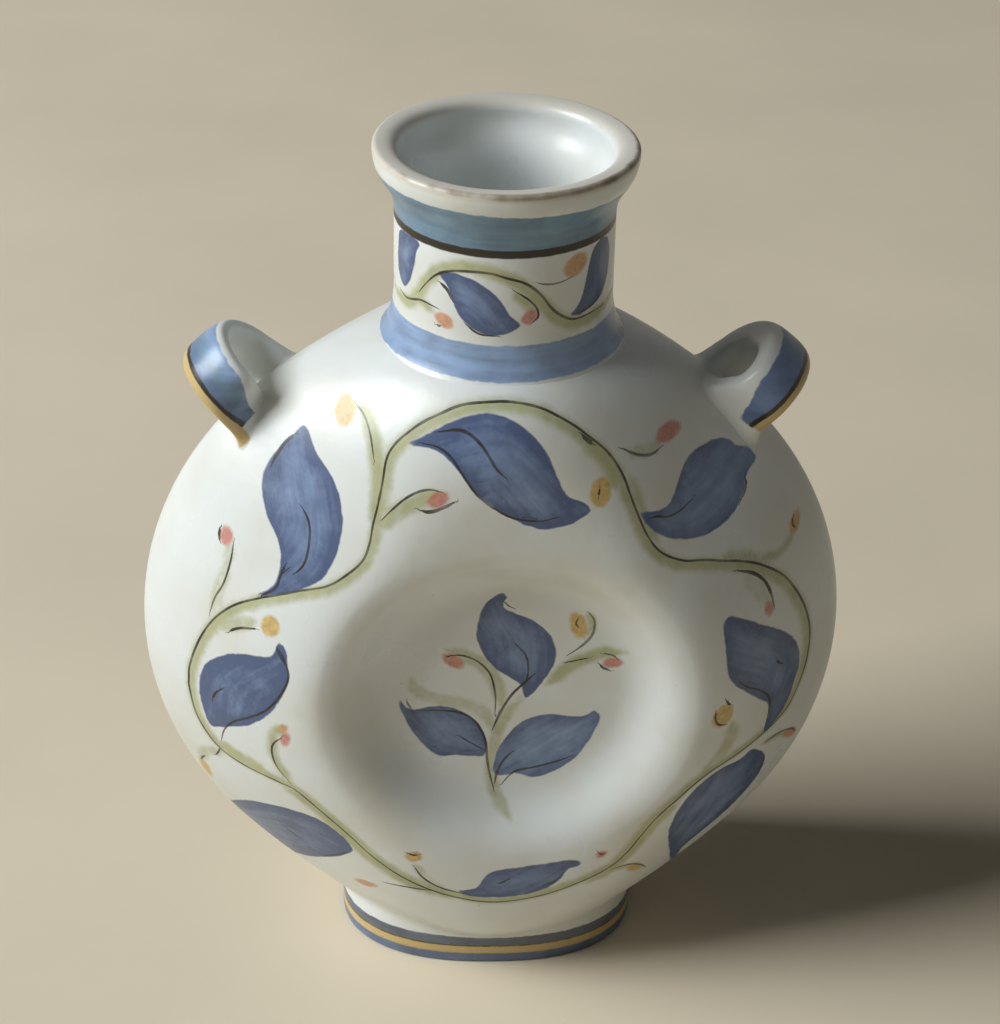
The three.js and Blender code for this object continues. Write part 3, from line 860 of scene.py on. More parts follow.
def painted_glaze(colours):
    """Tin glaze on earthenware, dipped and fired, with brushed oxides in it.

    The eye gets an off-white, slightly milky gloss with soft mottling and a few specks, brush strokes whose
    wash pools and thins, lines that break, and a lip where the glaze has worn off the clay.
    """
    material, tree = new_material("Painted tin glaze")
    place = add(tree, "ShaderNodeTexCoord")["Object"]
    field = {}
    for name in FIELDS:
        vector = add(tree, "ShaderNodeAttribute", attribute_name=name)["Vector"]
        field[name] = add(tree, "ShaderNodeSeparateXYZ", {0: vector})
    # Clouds of glaze about 24 mm wide, pools of paint about 7 mm wide, the grain of the brush, and the
    # ragged edge of a stroke
    cloud = add(tree, "ShaderNodeTexNoise", {"Vector": place, "Scale": per_metre(24), "Detail": 3})["Fac"]
    pool = add(tree, "ShaderNodeTexNoise", {"Vector": place, "Scale": per_metre(7), "Detail": 4})["Fac"]
    grain = add(tree, "ShaderNodeTexNoise", {"Vector": place, "Scale": per_metre(1.1), "Detail": 3})["Fac"]
    edge = add(tree, "ShaderNodeTexNoise", {"Vector": place, "Scale": per_metre(2.6), "Detail": 3})["Fac"]
    ragged = add(tree, "ShaderNodeMath", {0: edge, 1: 1.1, 2: -0.55}, operation="MULTIPLY_ADD")[0]

    # Streaks that run along each leaf, about 1.5 mm wide, and around each band
    run = add(tree, "ShaderNodeMath", {0: field["leaf"][1], 1: 2.2}, operation="MULTIPLY")[0]
    cross = add(tree, "ShaderNodeMath", {0: field["leaf"][2], 1: 0.45}, operation="MULTIPLY")[0]
    streak_place = add(tree, "ShaderNodeCombineXYZ", {0: run, 1: cross, 2: field["trim"][2]})[0]
    streak = add(tree, "ShaderNodeTexNoise", {"Vector": streak_place, "Scale": 1.4, "Detail": 3})["Fac"]
    drawn_out = (per_metre(18), per_metre(18), per_metre(2))
    band_place = add(tree, "ShaderNodeVectorMath", {0: place, 1: drawn_out}, operation="MULTIPLY")[0]
    band_streak = add(tree, "ShaderNodeTexNoise", {"Vector": band_place, "Scale": 1, "Detail": 2})["Fac"]

    # How much of each paint lies here: how far its edge wanders, and where it begins and is full
    cover = {}
    for name, source, wander, begins, full in (
        ("green", field["brush"][2], 1.3, *GREEN_COVER),
        ("wash", field["wash"][0], 0.8, 0, 0.45),
        ("leaf", field["leaf"][0], 0.6, -0.1, 0.4),
        ("berry", field["berry"][0], 0.8, -0.1, 0.9),
        ("dark", field["trim"][0], 0.35, 0, 0.4),
        ("yellow", field["trim"][1], 0.5, 0, 0.5),
    ):
        summed = {0: ragged, 1: wander, 2: source}
        moved = add(tree, "ShaderNodeMath", summed, operation="MULTIPLY_ADD")[0]
        limits = {0: moved, 1: begins, 2: full}
        cover[name] = add(tree, "ShaderNodeMapRange", limits, interpolation_type="SMOOTHSTEP")[0]

    # Lines, in two coats: thinner and fainter where the brush skips
    coats = []
    for name in ("brush", "second"):
        from_line = add(tree, "ShaderNodeMath", {0: field[name][0]}, operation="ABSOLUTE")[0]
        summed = {0: ragged, 1: 0.9, 2: from_line}
        moved = add(tree, "ShaderNodeMath", summed, operation="MULTIPLY_ADD")[0]
        limits = {0: moved, 1: 1.3, 2: 0.75}
        drawn = add(tree, "ShaderNodeMapRange", limits, interpolation_type="SMOOTHSTEP")[0]
        near = add(tree, "ShaderNodeMapRange", {0: field[name][1], 1: 0.85, 2: 1.05})[0]
        coats.append(add(tree, "ShaderNodeMath", {0: drawn, 1: near}, operation="MULTIPLY")[0])
    skip = add(tree, "ShaderNodeMapRange", {0: pool, 1: 0.34, 2: 0.56, 3: 0.72, 4: 1})[0]
    line = add(tree, "ShaderNodeMath", {0: coats[0], 1: coats[1]}, operation="MAXIMUM")[0]
    line = add(tree, "ShaderNodeMath", {0: line, 1: skip}, operation="MULTIPLY")[0]

    # Blues: thin in the middle of a stroke, pooled towards its edge
    pooled = add(tree, "ShaderNodeMapRange", {0: field["leaf"][0], 1: 5, 2: 0.2, 3: 0, 4: 0.4})[0]
    depth = pooled
    for source, weight in ((streak, 0.7), (pool, 0.8), (grain, 0.25)):
        summed = {0: source, 1: weight, 2: depth}
        depth = add(tree, "ShaderNodeMath", summed, operation="MULTIPLY_ADD")[0]
    depth = add(tree, "ShaderNodeMath", {0: depth, 1: field["second"][2]}, operation="ADD")[0]
    depth = add(tree, "ShaderNodeMapRange", {0: depth, 1: 0.6, 2: 1.3})[0]
    blues = {0: depth, 6: rgba(colours.blue_thin), 7: rgba(colours.blue_thick)}
    blue = add(tree, "ShaderNodeMix", blues, data_type="RGBA")[2]
    band = rgba(colours.band_blue)
    for start, end, hue in (
        (COBALT, SLATE, colours.slate),
        (COBALT, TEAL, colours.teal),
        (TEAL, PALE, colours.pale_blue),
    ):
        part = add(tree, "ShaderNodeMapRange", {0: field["wash"][1], 1: start, 2: end})[0]
        band = add(tree, "ShaderNodeMix", {0: part, 6: band, 7: rgba(hue)}, data_type="RGBA")[2]
    band_tone = add(tree, "ShaderNodeMath", {0: band_streak, 1: pool}, operation="ADD")[0]
    band_tone = add(tree, "ShaderNodeMapRange", {0: band_tone, 1: 0.7, 2: 1.35, 3: 1.35, 4: 0.72})[0]
    band = add(tree, "ShaderNodeVectorMath", {0: band, "Scale": band_tone}, operation="SCALE")[0]
    greens = {0: pool, 6: rgba(colours.green_thin), 7: rgba(colours.green)}
    green = add(tree, "ShaderNodeMix", greens, data_type="RGBA")[2]
    hues = {0: field["berry"][1], 6: rgba(colours.yellow), 7: rgba(colours.pink)}
    berry = add(tree, "ShaderNodeMix", hues, data_type="RGBA")[2]
    # A berry is dabbed: paler and darker in blots about 1 mm wide
    blot = add(tree, "ShaderNodeMapRange", {0: grain, 1: 0.3, 2: 0.7, 3: 1.18, 4: 0.75})[0]
    berry = add(tree, "ShaderNodeVectorMath", {0: berry, "Scale": blot}, operation="SCALE")[0]

    # White glaze, warmer where it lies thin, with iron specks about 0.4 mm wide and 12 mm apart
    limits = {0: cloud, 1: 0.34, 2: 0.78, 3: 0, 4: 0.8}
    thin = add(tree, "ShaderNodeMapRange", limits, interpolation_type="SMOOTHSTEP")[0]
    whites = {0: thin, 6: rgba(colours.glaze), 7: rgba(colours.glaze_thin)}
    white = add(tree, "ShaderNodeMix", whites, data_type="RGBA")[2]
    cells = add(tree, "ShaderNodeTexVoronoi", {"Vector": place, "Scale": per_metre(12)})["Distance"]
    speck = add(tree, "ShaderNodeMapRange", {0: cells, 1: 0.028, 2: 0.012})[0]
    speck = add(tree, "ShaderNodeMath", {0: speck, 1: 0.6}, operation="MULTIPLY")[0]

    # Where the lip was wiped and handled the glaze is thin, and at its edge worn through to the clay
    wiped = add(tree, "ShaderNodeMapRange", {0: field["wash"][2], 1: 0.15, 2: 0.6})[0]
    summed = {0: pool, 1: 1.1, 2: field["wash"][2]}
    worn_edge = add(tree, "ShaderNodeMath", summed, operation="MULTIPLY_ADD")[0]
    limits = {0: worn_edge, 1: 1.2, 2: 1.75}
    worn = add(tree, "ShaderNodeMapRange", limits, interpolation_type="SMOOTHSTEP")[0]

    # The layers, from the white up: cover, how strong it is, and its colour
    shade = white
    for part, strength, paint in (
        (wiped, 0.8, rgba(colours.lip)),
        (cover["green"], 0.9, green),
        (cover["wash"], 0.95, band),
        (cover["leaf"], 0.97, blue),
        (cover["yellow"], 0.9, rgba(colours.band_yellow)),
        (cover["berry"], 0.85, berry),
        (line, 0.97, rgba(colours.line)),
        (cover["dark"], 1.0, rgba(colours.line)),
        (speck, 1.0, rgba(colours.clay)),
        (worn, 0.8, rgba(colours.worn)),
    ):
        amount = add(tree, "ShaderNodeMath", {0: part, 1: strength}, operation="MULTIPLY")[0]
        shade = add(tree, "ShaderNodeMix", {0: amount, 6: shade, 7: paint}, data_type="RGBA")[2]

    gloss = add(tree, "ShaderNodeMapRange", {0: cloud, 1: 0.2, 2: 0.8, 3: 0.24, 4: 0.36})[0]
    gloss = add(tree, "ShaderNodeMath", {0: worn, 1: 0.45, 2: gloss}, operation="MULTIPLY_ADD")[0]
    # The fired glaze lies in faint waves about 5 mm wide, with a fine orange peel over them
    wave = add(tree, "ShaderNodeTexNoise", {"Vector": place, "Scale": per_metre(5), "Detail": 2})["Fac"]
    height = add(tree, "ShaderNodeMath", {0: grain, 1: 0.12, 2: wave}, operation="MULTIPLY_ADD")[0]
    bump = add(tree, "ShaderNodeBump", {"Strength": 0.35, "Distance": 0.00025, "Height": height})[0]
    surface = {"Base Color": shade, "Roughness": gloss, "IOR": 1.52, "Normal": bump}
    shader = add(tree, "ShaderNodeBsdfPrincipled", surface)[0]
    add(tree, "ShaderNodeOutputMaterial", {0: shader})
    return material


def bare_clay(colours):
    """Fired buff earthenware under a thin wash of glaze: matt, gritty and unevenly pale."""
    material, tree = new_material("Bare buff earthenware")
    place = add(tree, "ShaderNodeTexCoord")["Object"]
    patch = add(tree, "ShaderNodeTexNoise", {"Vector": place, "Scale": per_metre(9), "Detail": 4})["Fac"]
    grit = add(tree, "ShaderNodeTexNoise", {"Vector": place, "Scale": per_metre(0.8), "Detail": 2})["Fac"]
    tones = {0: patch, 6: rgba(colours.clay), 7: rgba(colours.glaze_thin)}
    shade = add(tree, "ShaderNodeMix", tones, data_type="RGBA")[2]
    bump = add(tree, "ShaderNodeBump", {"Strength": 0.5, "Distance": 0.0003, "Height": grit})[0]
    rough = add(tree, "ShaderNodeMapRange", {0: patch, 3: 0.6, 4: 0.9})[0]
    surface = {"Base Color": shade, "Roughness": rough, "Normal": bump}
    shader = add(tree, "ShaderNodeBsdfPrincipled", surface)[0]
    add(tree, "ShaderNodeOutputMaterial", {0: shader})
    return material


def glaze_of(context):
    """The glaze that all the painted pieces share."""
    found = bpy.data.materials.get("Painted tin glaze")
    return found or painted_glaze(context.scene.jug.colours)


# Operators


class JUG_OT_body(bpy.types.Operator):
    """Build the hollow round body, with its two dimpled faces and its painted wreath"""

    bl_idname = "jug.body"
    bl_label = "Body"

    def execute(self, context):
        jug = context.scene.jug
        s = in_millimetres(jug.sizes)
        around = jug.steps_around
        points, faces = self.shell(s, around, 0, OUTSIDE_RINGS)
        inner_points, inner_faces = self.shell(s, around // INSIDE_COARSER, s.body_wall, INSIDE_RINGS)
        faces += [tuple(len(points) + i for i in face) for face in inside_out(inner_faces)]
        piece = new_piece("body", np.vstack([points, inner_points]), faces, s)
        self.open_neck(context, piece, s)
        self.paint(piece, s)
        dress(piece, glaze_of(context), ("body_front", "body_back"))
        return {"FINISHED"}

    def shell(self, s, around, inset, steps):
        """A closed skin: the front face, then the back face, with a point in the middle of each."""
        angles = full_turn(around)
        front = face_rings(s, angles, inset, steps, -1)
        back = face_rings(s, angles, inset, steps, 1)[::-1][1:]
        floor = s.body_half_depth - inset - s.dimple_depth
        hubs = np.array([[s.dimple_offset, -floor, 0], [-s.dimple_offset, floor, 0]])
        return capped(front + back, hubs)

    def open_neck(self, context, piece, s):
        """Cuts the opening under the neck through the wall."""
        # How much wider than the bore the cut is, how far above the body it starts, and from which angle
        # its edges stay sharp
        clearance, beyond, crease = 0.3, 8, math.radians(50)
        angles, radius = full_turn(OPENING_FACETS), s.bore_radius + clearance
        ring = np.stack([radius * np.cos(angles), radius * np.sin(angles)], 1)
        low, high = crest_radius(s), s.body_radius + beyond
        levels = [np.column_stack([ring, np.full(len(ring), level)]) for level in (low, high)]
        points, faces = capped(levels, np.array([[0, 0, low], [0, 0, high]]), outward=False)
        cutter = new_piece("neck_cutter", points, faces, s)
        uncut = len(piece.data.polygons)
        cut = piece.modifiers.new("Opening", "BOOLEAN")
        cut.operation, cut.solver, cut.object = "DIFFERENCE", "EXACT", cutter
        context.view_layer.update()
        opened = bpy.data.meshes.new_from_object(piece.evaluated_get(context.evaluated_depsgraph_get()))
        piece.modifiers.clear()
        piece.data = opened
        bpy.data.objects.remove(cutter)
        opened.set_sharp_from_angle(angle=crease)
        if len(opened.polygons) < uncut / 2:
            raise RuntimeError("the opening under the neck wasn't cut")

    def paint(self, piece, s):
        """The same wreath on both faces."""
        x, y, h = piece_points(piece, s).T
        places = np.stack([np.where(y < 0, x, -x), h], 1)
        depth, _ = body_depth(s, places[:, 0], h)
        outer = np.flatnonzero(np.abs(y) > depth - s.body_wall / 2)
        fields = blank(len(outer))
        for seed, leaf in enumerate(LEAVES):
            paint_leaf(fields, places[outer], leaf, seed * LEAF_SEED_STEP)
        vine = (VINE_LOAD, VINE_HALF_WIDTH, VINE)
        paint_wash(fields, places[outer], *vine, aside=VINE_ASIDE, closed=True)
        for wash in WASHES:
            paint_wash(fields, places[outer], *wash)
        paint_lines(fields, places[outer], ((VINE_LINE_HALF_WIDTH, VINE), *LINES))
        for berry in BERRIES:
            paint_berry(fields, places[outer], berry)
        whole = blank(len(x))
        for name, values in fields.items():
            whole[name][outer] = values
        keep_fields(piece, whole)


class JUG_OT_neck(bpy.types.Operator):
    """Build the neck, from its root on the shoulder over the lip and down the bore"""

    bl_idname = "jug.neck"
    bl_label = "Neck"

    def execute(self, context):
        s = in_millimetres(context.scene.jug.sizes)
        root_rings, wall_rings, bore_rings = 20, 34, 14
        # How far out of and up from the corner the root is rounded, and the bore runs on below the shoulder
        corner_out, corner_up, run_on = 0.5, 2, 1.5
        angles = full_turn(NECK_FACETS)
        spokes = np.column_stack([np.cos(angles), np.sin(angles), np.zeros(NECK_FACETS)])
        up = np.array([0, 0, 1.0])
        top = s.rim_top - s.body_centre
        start = np.array([0, 0, top])
        seat = land(s, start + spokes * s.neck_radius, -up, top)
        spread_radius = s.neck_radius + s.neck_root_width
        spread = land(s, start + spokes * spread_radius, -up, top) - ROOT_SINK * up
        corner = seat + spokes * corner_out + up * corner_up
        rise = seat + up * s.neck_root_height
        rings = [quadratic(t, spread, corner, rise) for t in np.linspace(0, 1, root_rings)]
        flare_start = top - s.rim_flare_height
        for t in np.linspace(0, 1, wall_rings)[1:]:
            level = rise[:, 2] + t * (flare_start - rise[:, 2])
            rings.append(spokes * s.neck_radius + np.outer(level, up))
        for radius, height in self.mouth(s, flare_start, top):
            rings.append(spokes * radius + up * height)
        bottom = seat[:, 2].min() - run_on
        for t in np.linspace(0, 1, bore_rings)[1:]:
            rings.append(spokes * s.bore_radius + up * (flare_start + t * (bottom - flare_start)))
        faces = band_faces(len(rings), NECK_FACETS, closed=True)
        piece = new_piece("neck", np.vstack(rings), faces, s, crease=CREASE)
        self.paint(piece, s)
        dress(piece, glaze_of(context), ("neck", "neck_coil"))
        return {"FINISHED"}

    def mouth(self, s, flare_start, top):
        """The flare, the lip with its small outer edge, and the inside of the flare: radius and height."""
        flare_rings, edge_rings, lip_rings, inner_rings = 24, 8, 12, 18
        lip, inside = s.lip_thickness / 2, s.rim_radius - s.lip_thickness
        flare_middle = top - s.rim_flare_height / 2
        line = []
        for t in np.linspace(0, 1, flare_rings)[1:]:
            radius = bezier(t, s.neck_radius, s.neck_radius, s.rim_radius, s.rim_radius)
            line.append((radius, bezier(t, flare_start, flare_middle, flare_middle, top - s.lip_edge)))
        edge = s.rim_radius - s.lip_edge
        for turn in np.linspace(0, np.pi / 2, edge_rings)[1:]:
            radius = edge + s.lip_edge * math.cos(turn)
            line.append((radius, top - s.lip_edge * (1 - math.sin(turn))))
        for t in np.linspace(0, 1, lip_rings)[1:]:
            radius = bezier(t, edge, s.rim_radius - lip, inside, inside)
            line.append((radius, bezier(t, top, top, top, top - lip)))
        for t in np.linspace(0, 1, inner_rings)[1:]:
            radius = bezier(t, inside, inside, s.bore_radius, s.bore_radius)
            line.append((radius, bezier(t, top - lip, flare_middle, flare_middle, flare_start)))
        return line

    def paint(self, piece, s):
        """Bands and a frieze outside, and a worn lip."""
        x, y, h = piece_points(piece, s).T
        x = x - s.neck_lean
        radius, floor_height = np.hypot(x, y), h + s.body_centre
        bearing = np.arctan2(x, -y)
        fields = blank(len(x))
        # The lip is wiped thin all round, and worn at its outer edge, most in front and at the right
        wiped, wiped_from, wiped_to, edge_inset, bare_to, worn_to = 0.55, 3.4, 1, 0.5, 0.6, 1.9
        lip = wiped * smooth(floor_height, s.rim_top - wiped_from, s.rim_top - wiped_to)
        from_edge = np.hypot(radius - s.rim_radius + edge_inset, floor_height - s.rim_top + edge_inset)
        handled = 0.75 + 0.25 * np.sin(bearing + math.radians(50))
        fields["wash"][:, 2] = np.maximum(lip, handled * (1 - smooth(from_edge, bare_to, worn_to)))
        # How deep the outside is taken to be, how far below the top the paint ends, how far past its edges
        # a band keeps its hue, and the degrees of a frieze on either side of its middle
        skin, below_top, hue_margin, half_frieze = 1.5, 2, 1.2, 100
        outside = (radius > s.neck_radius - skin) & (floor_height < s.rim_top - below_top)
        outer = np.flatnonzero(outside & self.faces_out(piece))
        level = floor_height[outer]
        low, high = NECK_UPPER_BAND
        upper_band = (low, high - NECK_BAND_FALL * x[outer])
        for edges, hue in ((upper_band, TEAL), (NECK_LOWER_BAND, PALE)):
            inside = between(level, edges)
            paint_band(fields, "wash", 0, outer, inside)
            fields["wash"][outer[inside > -hue_margin], 1] = hue
        paint_band(fields, "trim", 0, outer, between(level, NECK_DARK_BAND))
        arc = math.radians(1) * s.neck_radius

        def around(points):
            """Points of the frieze, in millimetres around the neck."""
            return [(degrees * arc, height) for degrees, height in points]

        for middle in (0, 180):
            degrees = (np.degrees(bearing[outer]) - middle + 180) % 360 - 180
            half = np.abs(degrees) <= half_frieze
            rows = outer[half]
            places = np.stack([degrees[half] * arc, level[half]], 1)
            part = {name: values[rows] for name, values in fields.items()}
            for i, (load, rib, outline) in enumerate(FRIEZE_LEAVES):
                seed = FRIEZE_SEED + i * FRIEZE_SEED_STEP
                paint_leaf(part, places, (load, around(rib), around(outline)), seed)
            for load, half_width, points in FRIEZE_WASHES:
                paint_wash(part, places, load, half_width, around(points))
            paint_lines(part, places, [(width, around(points)) for width, points in FRIEZE_LINES])
            for at, *rest in FRIEZE_BERRIES:
                paint_berry(part, places, (at * arc, *rest))
            for name, values in part.items():
                fields[name][rows] = values
        keep_fields(piece, fields)

    def faces_out(self, piece):
        """Which points lie on the outside of the neck."""
        normals = np.array([v.normal for v in piece.data.vertices])
        points = np.array([v.co for v in piece.data.vertices])
        return (normals[:, :2] * points[:, :2]).sum(1) > 0


class JUG_OT_foot(bpy.types.Operator):
    """Build the oval foot ring, with its painted bands"""

    bl_idname = "jug.foot"
    bl_label = "Foot ring"

    def execute(self, context):
        s = in_millimetres(context.scene.jug.sizes)
        # Rounding of the edges that stand on the floor, rounding of the angle with the body, and how far
        # the inside runs on into the body
        rounding, fillet, sunk = 0.8, 1.9, 0.5
        fillet_rings, wall_rings, edge_rings, inner_rings = 9, 30, 5, 6
        angles = full_turn(FOOT_FACETS)
        across = squared_off(np.cos(angles), s.foot_squareness)
        deep = squared_off(np.sin(angles), s.foot_squareness)
        up = np.array([0, 0, 1.0])
        floor = -s.body_centre * up

        def oval(inset):
            """A ring on the floor, drawn in from the outside of the foot."""
            width, depth = s.foot_half_width - inset, s.foot_half_depth - inset
            return np.column_stack([width * across, depth * deep, np.zeros(FOOT_FACETS)]) + floor

        wall = oval(0) + up * rounding
        seat = land(s, wall, up, REACH)
        edge, end = land(s, oval(-fillet), up, REACH) + ROOT_SINK * up, seat - fillet * up
        rings = [quadratic(t, edge, seat, end) for t in np.linspace(0, 1, fillet_rings)]
        for t in np.linspace(0, 1, wall_rings)[1:]:
            rings.append(end + t * (wall - end))
        for turn in np.linspace(0, np.pi / 2, edge_rings)[1:]:
            inset = rounding * (1 - math.cos(turn))
            rings.append(oval(inset) + up * rounding * (1 - math.sin(turn)))
        for turn in np.linspace(np.pi / 2, 0, edge_rings):
            inset = s.foot_wall - rounding * (1 - math.cos(turn))
            rings.append(oval(inset) + up * rounding * (1 - math.sin(turn)))
        inner_wall = oval(s.foot_wall) + up * rounding
        inner_seat = land(s, inner_wall, up, REACH) + up * sunk
        for t in np.linspace(0, 1, inner_rings)[1:]:
            rings.append(inner_wall + t * (inner_seat - inner_wall))
        faces = inside_out(band_faces(len(rings), FOOT_FACETS, closed=True))
        piece = new_piece("foot_ring", np.vstack(rings), faces, s, crease=CREASE)
        self.paint(piece, s)
        dress(piece, glaze_of(context), ("foot_ring",))
        return {"FINISHED"}

    def paint(self, piece, s):
        """Bands around the outside, and bare clay where the foot stands."""
        x, y, h = piece_points(piece, s).T
        fields = blank(len(x))
        level = h + s.body_centre
        # The share of the plan that counts as outside, how far past its edges a band keeps its hue, and the
        # heights up to which the clay is bare and from which it is glazed
        outer_share, hue_margin, bare_to, glazed_from = 0.05, 0.6, 0.02, 0.25
        power = s.foot_squareness
        plan = np.abs(x / s.foot_half_width) ** power + np.abs(y / s.foot_half_depth) ** power
        outer = np.flatnonzero(1 - plan ** (1 / power) < outer_share)
        for edges, hue in ((FOOT_LOW_BAND, FOOT_LOW_HUE), (FOOT_HIGH_BAND, SLATE)):
            inside = between(level[outer], edges)
            paint_band(fields, "wash", 0, outer, inside)
            fields["wash"][outer[inside > -hue_margin], 1] = hue
        paint_band(fields, "trim", 0, outer, between(level[outer], FOOT_DARK_BAND))
        paint_band(fields, "trim", 1, outer, between(level[outer], FOOT_YELLOW_BAND))
        fields["wash"][:, 2] = 1 - smooth(level, bare_to, glazed_from)
        keep_fields(piece, fields)


class JUG_OT_lugs(bpy.types.Operator):
    """Build the two strap lugs, each drawn out of the shoulder and over the seam"""

    bl_idname = "jug.lugs"
    bl_label = "Strap lugs"

    def execute(self, context):
        s = in_millimetres(context.scene.jug.sizes)
        # The right strap is thicker, most of it towards its hole, and its blue is narrower and fuller.
        # The front legs lean to the seam at their roots. The left one is cut off slantwise there, and the
        # right one swept out towards the neck.
        # The blue narrows towards the root. The paint ends are how far above the middle of the root the
        # blue, the dark line and the yellow stop.
        left = SimpleNamespace(
            side=-1, proud=0, into_hole=0, fill=5, lean=2.4, mitre=0.9, sweep=-6,
            blue_start=-5, narrowing=5, watered=1, paint_ends=(1.8, 1.6, -2),
        )
        right = SimpleNamespace(
            side=1, proud=0.8, into_hole=2.4, fill=3, lean=4.6, mitre=0.3, sweep=1.2,
            blue_start=-4.2, narrowing=4.2, watered=0, paint_ends=(0.6, 0.7, 1.3),
        )
        for name, made in (("handle_left", left), ("handle_right", right)):
            dress(self.lug(s, name, made), glaze_of(context), (name,))
        return {"FINISHED"}

    def lug(self, s, name, made):
        """One lug: an arch over the seam between two legs that widen into the shoulder."""
        arch_rings, leg_rings, root_rings = 41, 8, 15
        # Half width that the strap gains at its crest, and that a leg gains at its root: the back leg and
        # the front leg towards the neck, and both away from it
        crest_gain, back_gain, front_gain, outer_gain = 0.8, 4.2, 2.4, 1.4
        lean_height = 16  # how far above the body a front leg begins to lean
        # How high above the body a root begins, how far it spreads, from how high it is laid on the body,
        # and how deep its closed end lies
        root_start, root_spread, lift, sunk = 4, 2.2, 9, 2.2
        side, half_thick = made.side, s.strap_thickness / 2 + made.proud
        across = np.array([0, side, 0.0])
        outward = np.array([side * math.cos(s.lug_angle), 0, math.sin(s.lug_angle)])
        downhill = np.cross(across, outward)
        centre = s.body_radius + s.lug_stand_off - s.lug_half_span
        turn = full_turn(STRAP_FACETS)
        flat = squared_off(np.cos(turn), STRAP_SQUARENESS)
        proud = squared_off(np.sin(turn), STRAP_SQUARENESS)
        toward_neck, away, into_hole = (np.clip(part, 0, 1) for part in (-flat, flat, -proud))
        leg_width = s.strap_width / 2 - crest_gain
        leg_end = s.lug_half_span * across + centre * outward
        landing = np.array([leg_end, leg_end - made.lean * across])
        back_base, front_base = land(s, landing, -outward, REACH) @ outward

        def in_front(y):
            """How far a place on the strap belongs to its front leg, from 0 to 1."""
            return 0.5 - 0.5 * side * y / s.lug_half_span

        def section(y, u, normal, width):
            """A ring of the strap around a point of its middle line, drawn out near its root."""
            front = in_front(y)
            base = back_base + front * (front_base - back_base)
            root = 1 - smooth(u - base, 0, LUG_ROOT_HEIGHT)
            fall = np.clip((centre + s.lug_half_span - u) / (centre + s.lug_half_span - base), 0, 1)
            # Towards the neck the back leg widens evenly, and the front leg less
            swept = front_gain * fall + made.sweep * root ** 2
            neckward = (1 - front) * back_gain * fall + front * swept
            drawn = outer_gain * away * root - toward_neck * neckward
            hole_side = made.into_hole + made.fill * root ** 2
            thick = proud * half_thick - into_hole * hole_side
            slant = front * made.mitre * root * (1 - flat) / 2
            thick = thick - slant * (thick + half_thick + hole_side)
            leaning = np.clip(1 - (u - base) / lean_height, 0, 1) ** 2
            lean = front * made.lean / s.lug_half_span * leaning
            middle = y * (1 - lean) * across + u * outward
            face = normal[0] * across + normal[1] * outward
            return middle + np.outer(flat * width + drawn, downhill) + np.outer(thick, face)

        def leg(way):
            """Rings from the end of the arch down into the body, spreading where they meet it."""
            at = way * s.lug_half_span
            base = front_base if in_front(at) > 0.5 else back_base
            low, step_up = base + root_start, 0.5
            levels = np.linspace(centre, low, leg_rings)[1:]
            rings = [section(at, u, (way, 0), leg_width) for u in levels]
            rise = rings[-1]
            downward = rise - section(at, low + step_up, (way, 0), leg_width)
            seat = land(s, rise, downward / np.linalg.norm(downward, axis=1)[:, None], REACH)
            spread = root_spread + (1 + 0.3 * made.sweep) * toward_neck + into_hole
            normal = np.column_stack([np.cos(turn) / leg_width, np.sin(turn) / half_thick])
            normal /= np.linalg.norm(normal, axis=1)[:, None]
            out = np.outer(normal[:, 0], downhill) + np.outer(normal[:, 1] * way, across)
            lifted = seat + lift * outward + out * spread[:, None]
            edge = land(s, lifted, -outward, REACH) - ROOT_SINK * outward
            rings += [quadratic(t, rise, seat, edge) for t in np.linspace(0, 1, root_rings)[1:]]
            return rings, base

        arch = []
        for beta in np.linspace(np.pi, 0, arch_rings):
            y, u = math.cos(beta), math.sin(beta)
            height, width = centre + u * s.lug_half_span, leg_width + crest_gain * u
            arch.append(section(y * s.lug_half_span, height, (y, u), width))
        first, first_base = leg(-1)
        last, last_base = leg(1)
        rings = first[::-1] + arch + last
        hubs = np.array([ring.mean(0) - sunk * outward for ring in (rings[0], rings[-1])])
        points, faces = capped(rings, hubs)
        piece = new_piece(name, points, inside_out(faces), s)
        half = len(first) + len(arch) // 2
        bases = np.repeat([first_base, last_base], [half, len(rings) - half])
        above = np.vstack(rings) @ outward - np.repeat(bases, STRAP_FACETS)
        self.paint(piece, np.tile(flat * leg_width, len(rings)), above, np.tile(proud, len(rings)), made)
        return piece

    def paint(self, piece, aside, above, proud, made):
        """Bands along the outer face of the strap, ending above its roots."""
        fields = blank(len(aside) + 2)
        rows = np.arange(len(aside))
        # The paint ends where the strap turns to its side
        turned, slope = 0.25, 4
        face = (proud - turned) * slope
        narrowed = made.narrowing * (1 - smooth(above, 0, LUG_ROOT_HEIGHT))
        blue_edges = (made.blue_start + narrowed, LUG_BLUE_END)
        bands = (("wash", 0, blue_edges), ("trim", 0, LUG_DARK_BAND), ("trim", 1, LUG_YELLOW_BAND))
        for (name, column, edges), end in zip(bands, made.paint_ends):
            inside = np.minimum(np.minimum(between(aside, edges), face), above - end)
            paint_band(fields, name, column, rows, inside)
        # The blue is watered towards the neck, and pools along the dark line
        watered = 1 - smooth(aside, made.blue_start, LUG_BLUE_END)
        fields["wash"][rows, 1] = made.watered * PALE * watered
        keep_fields(piece, fields)


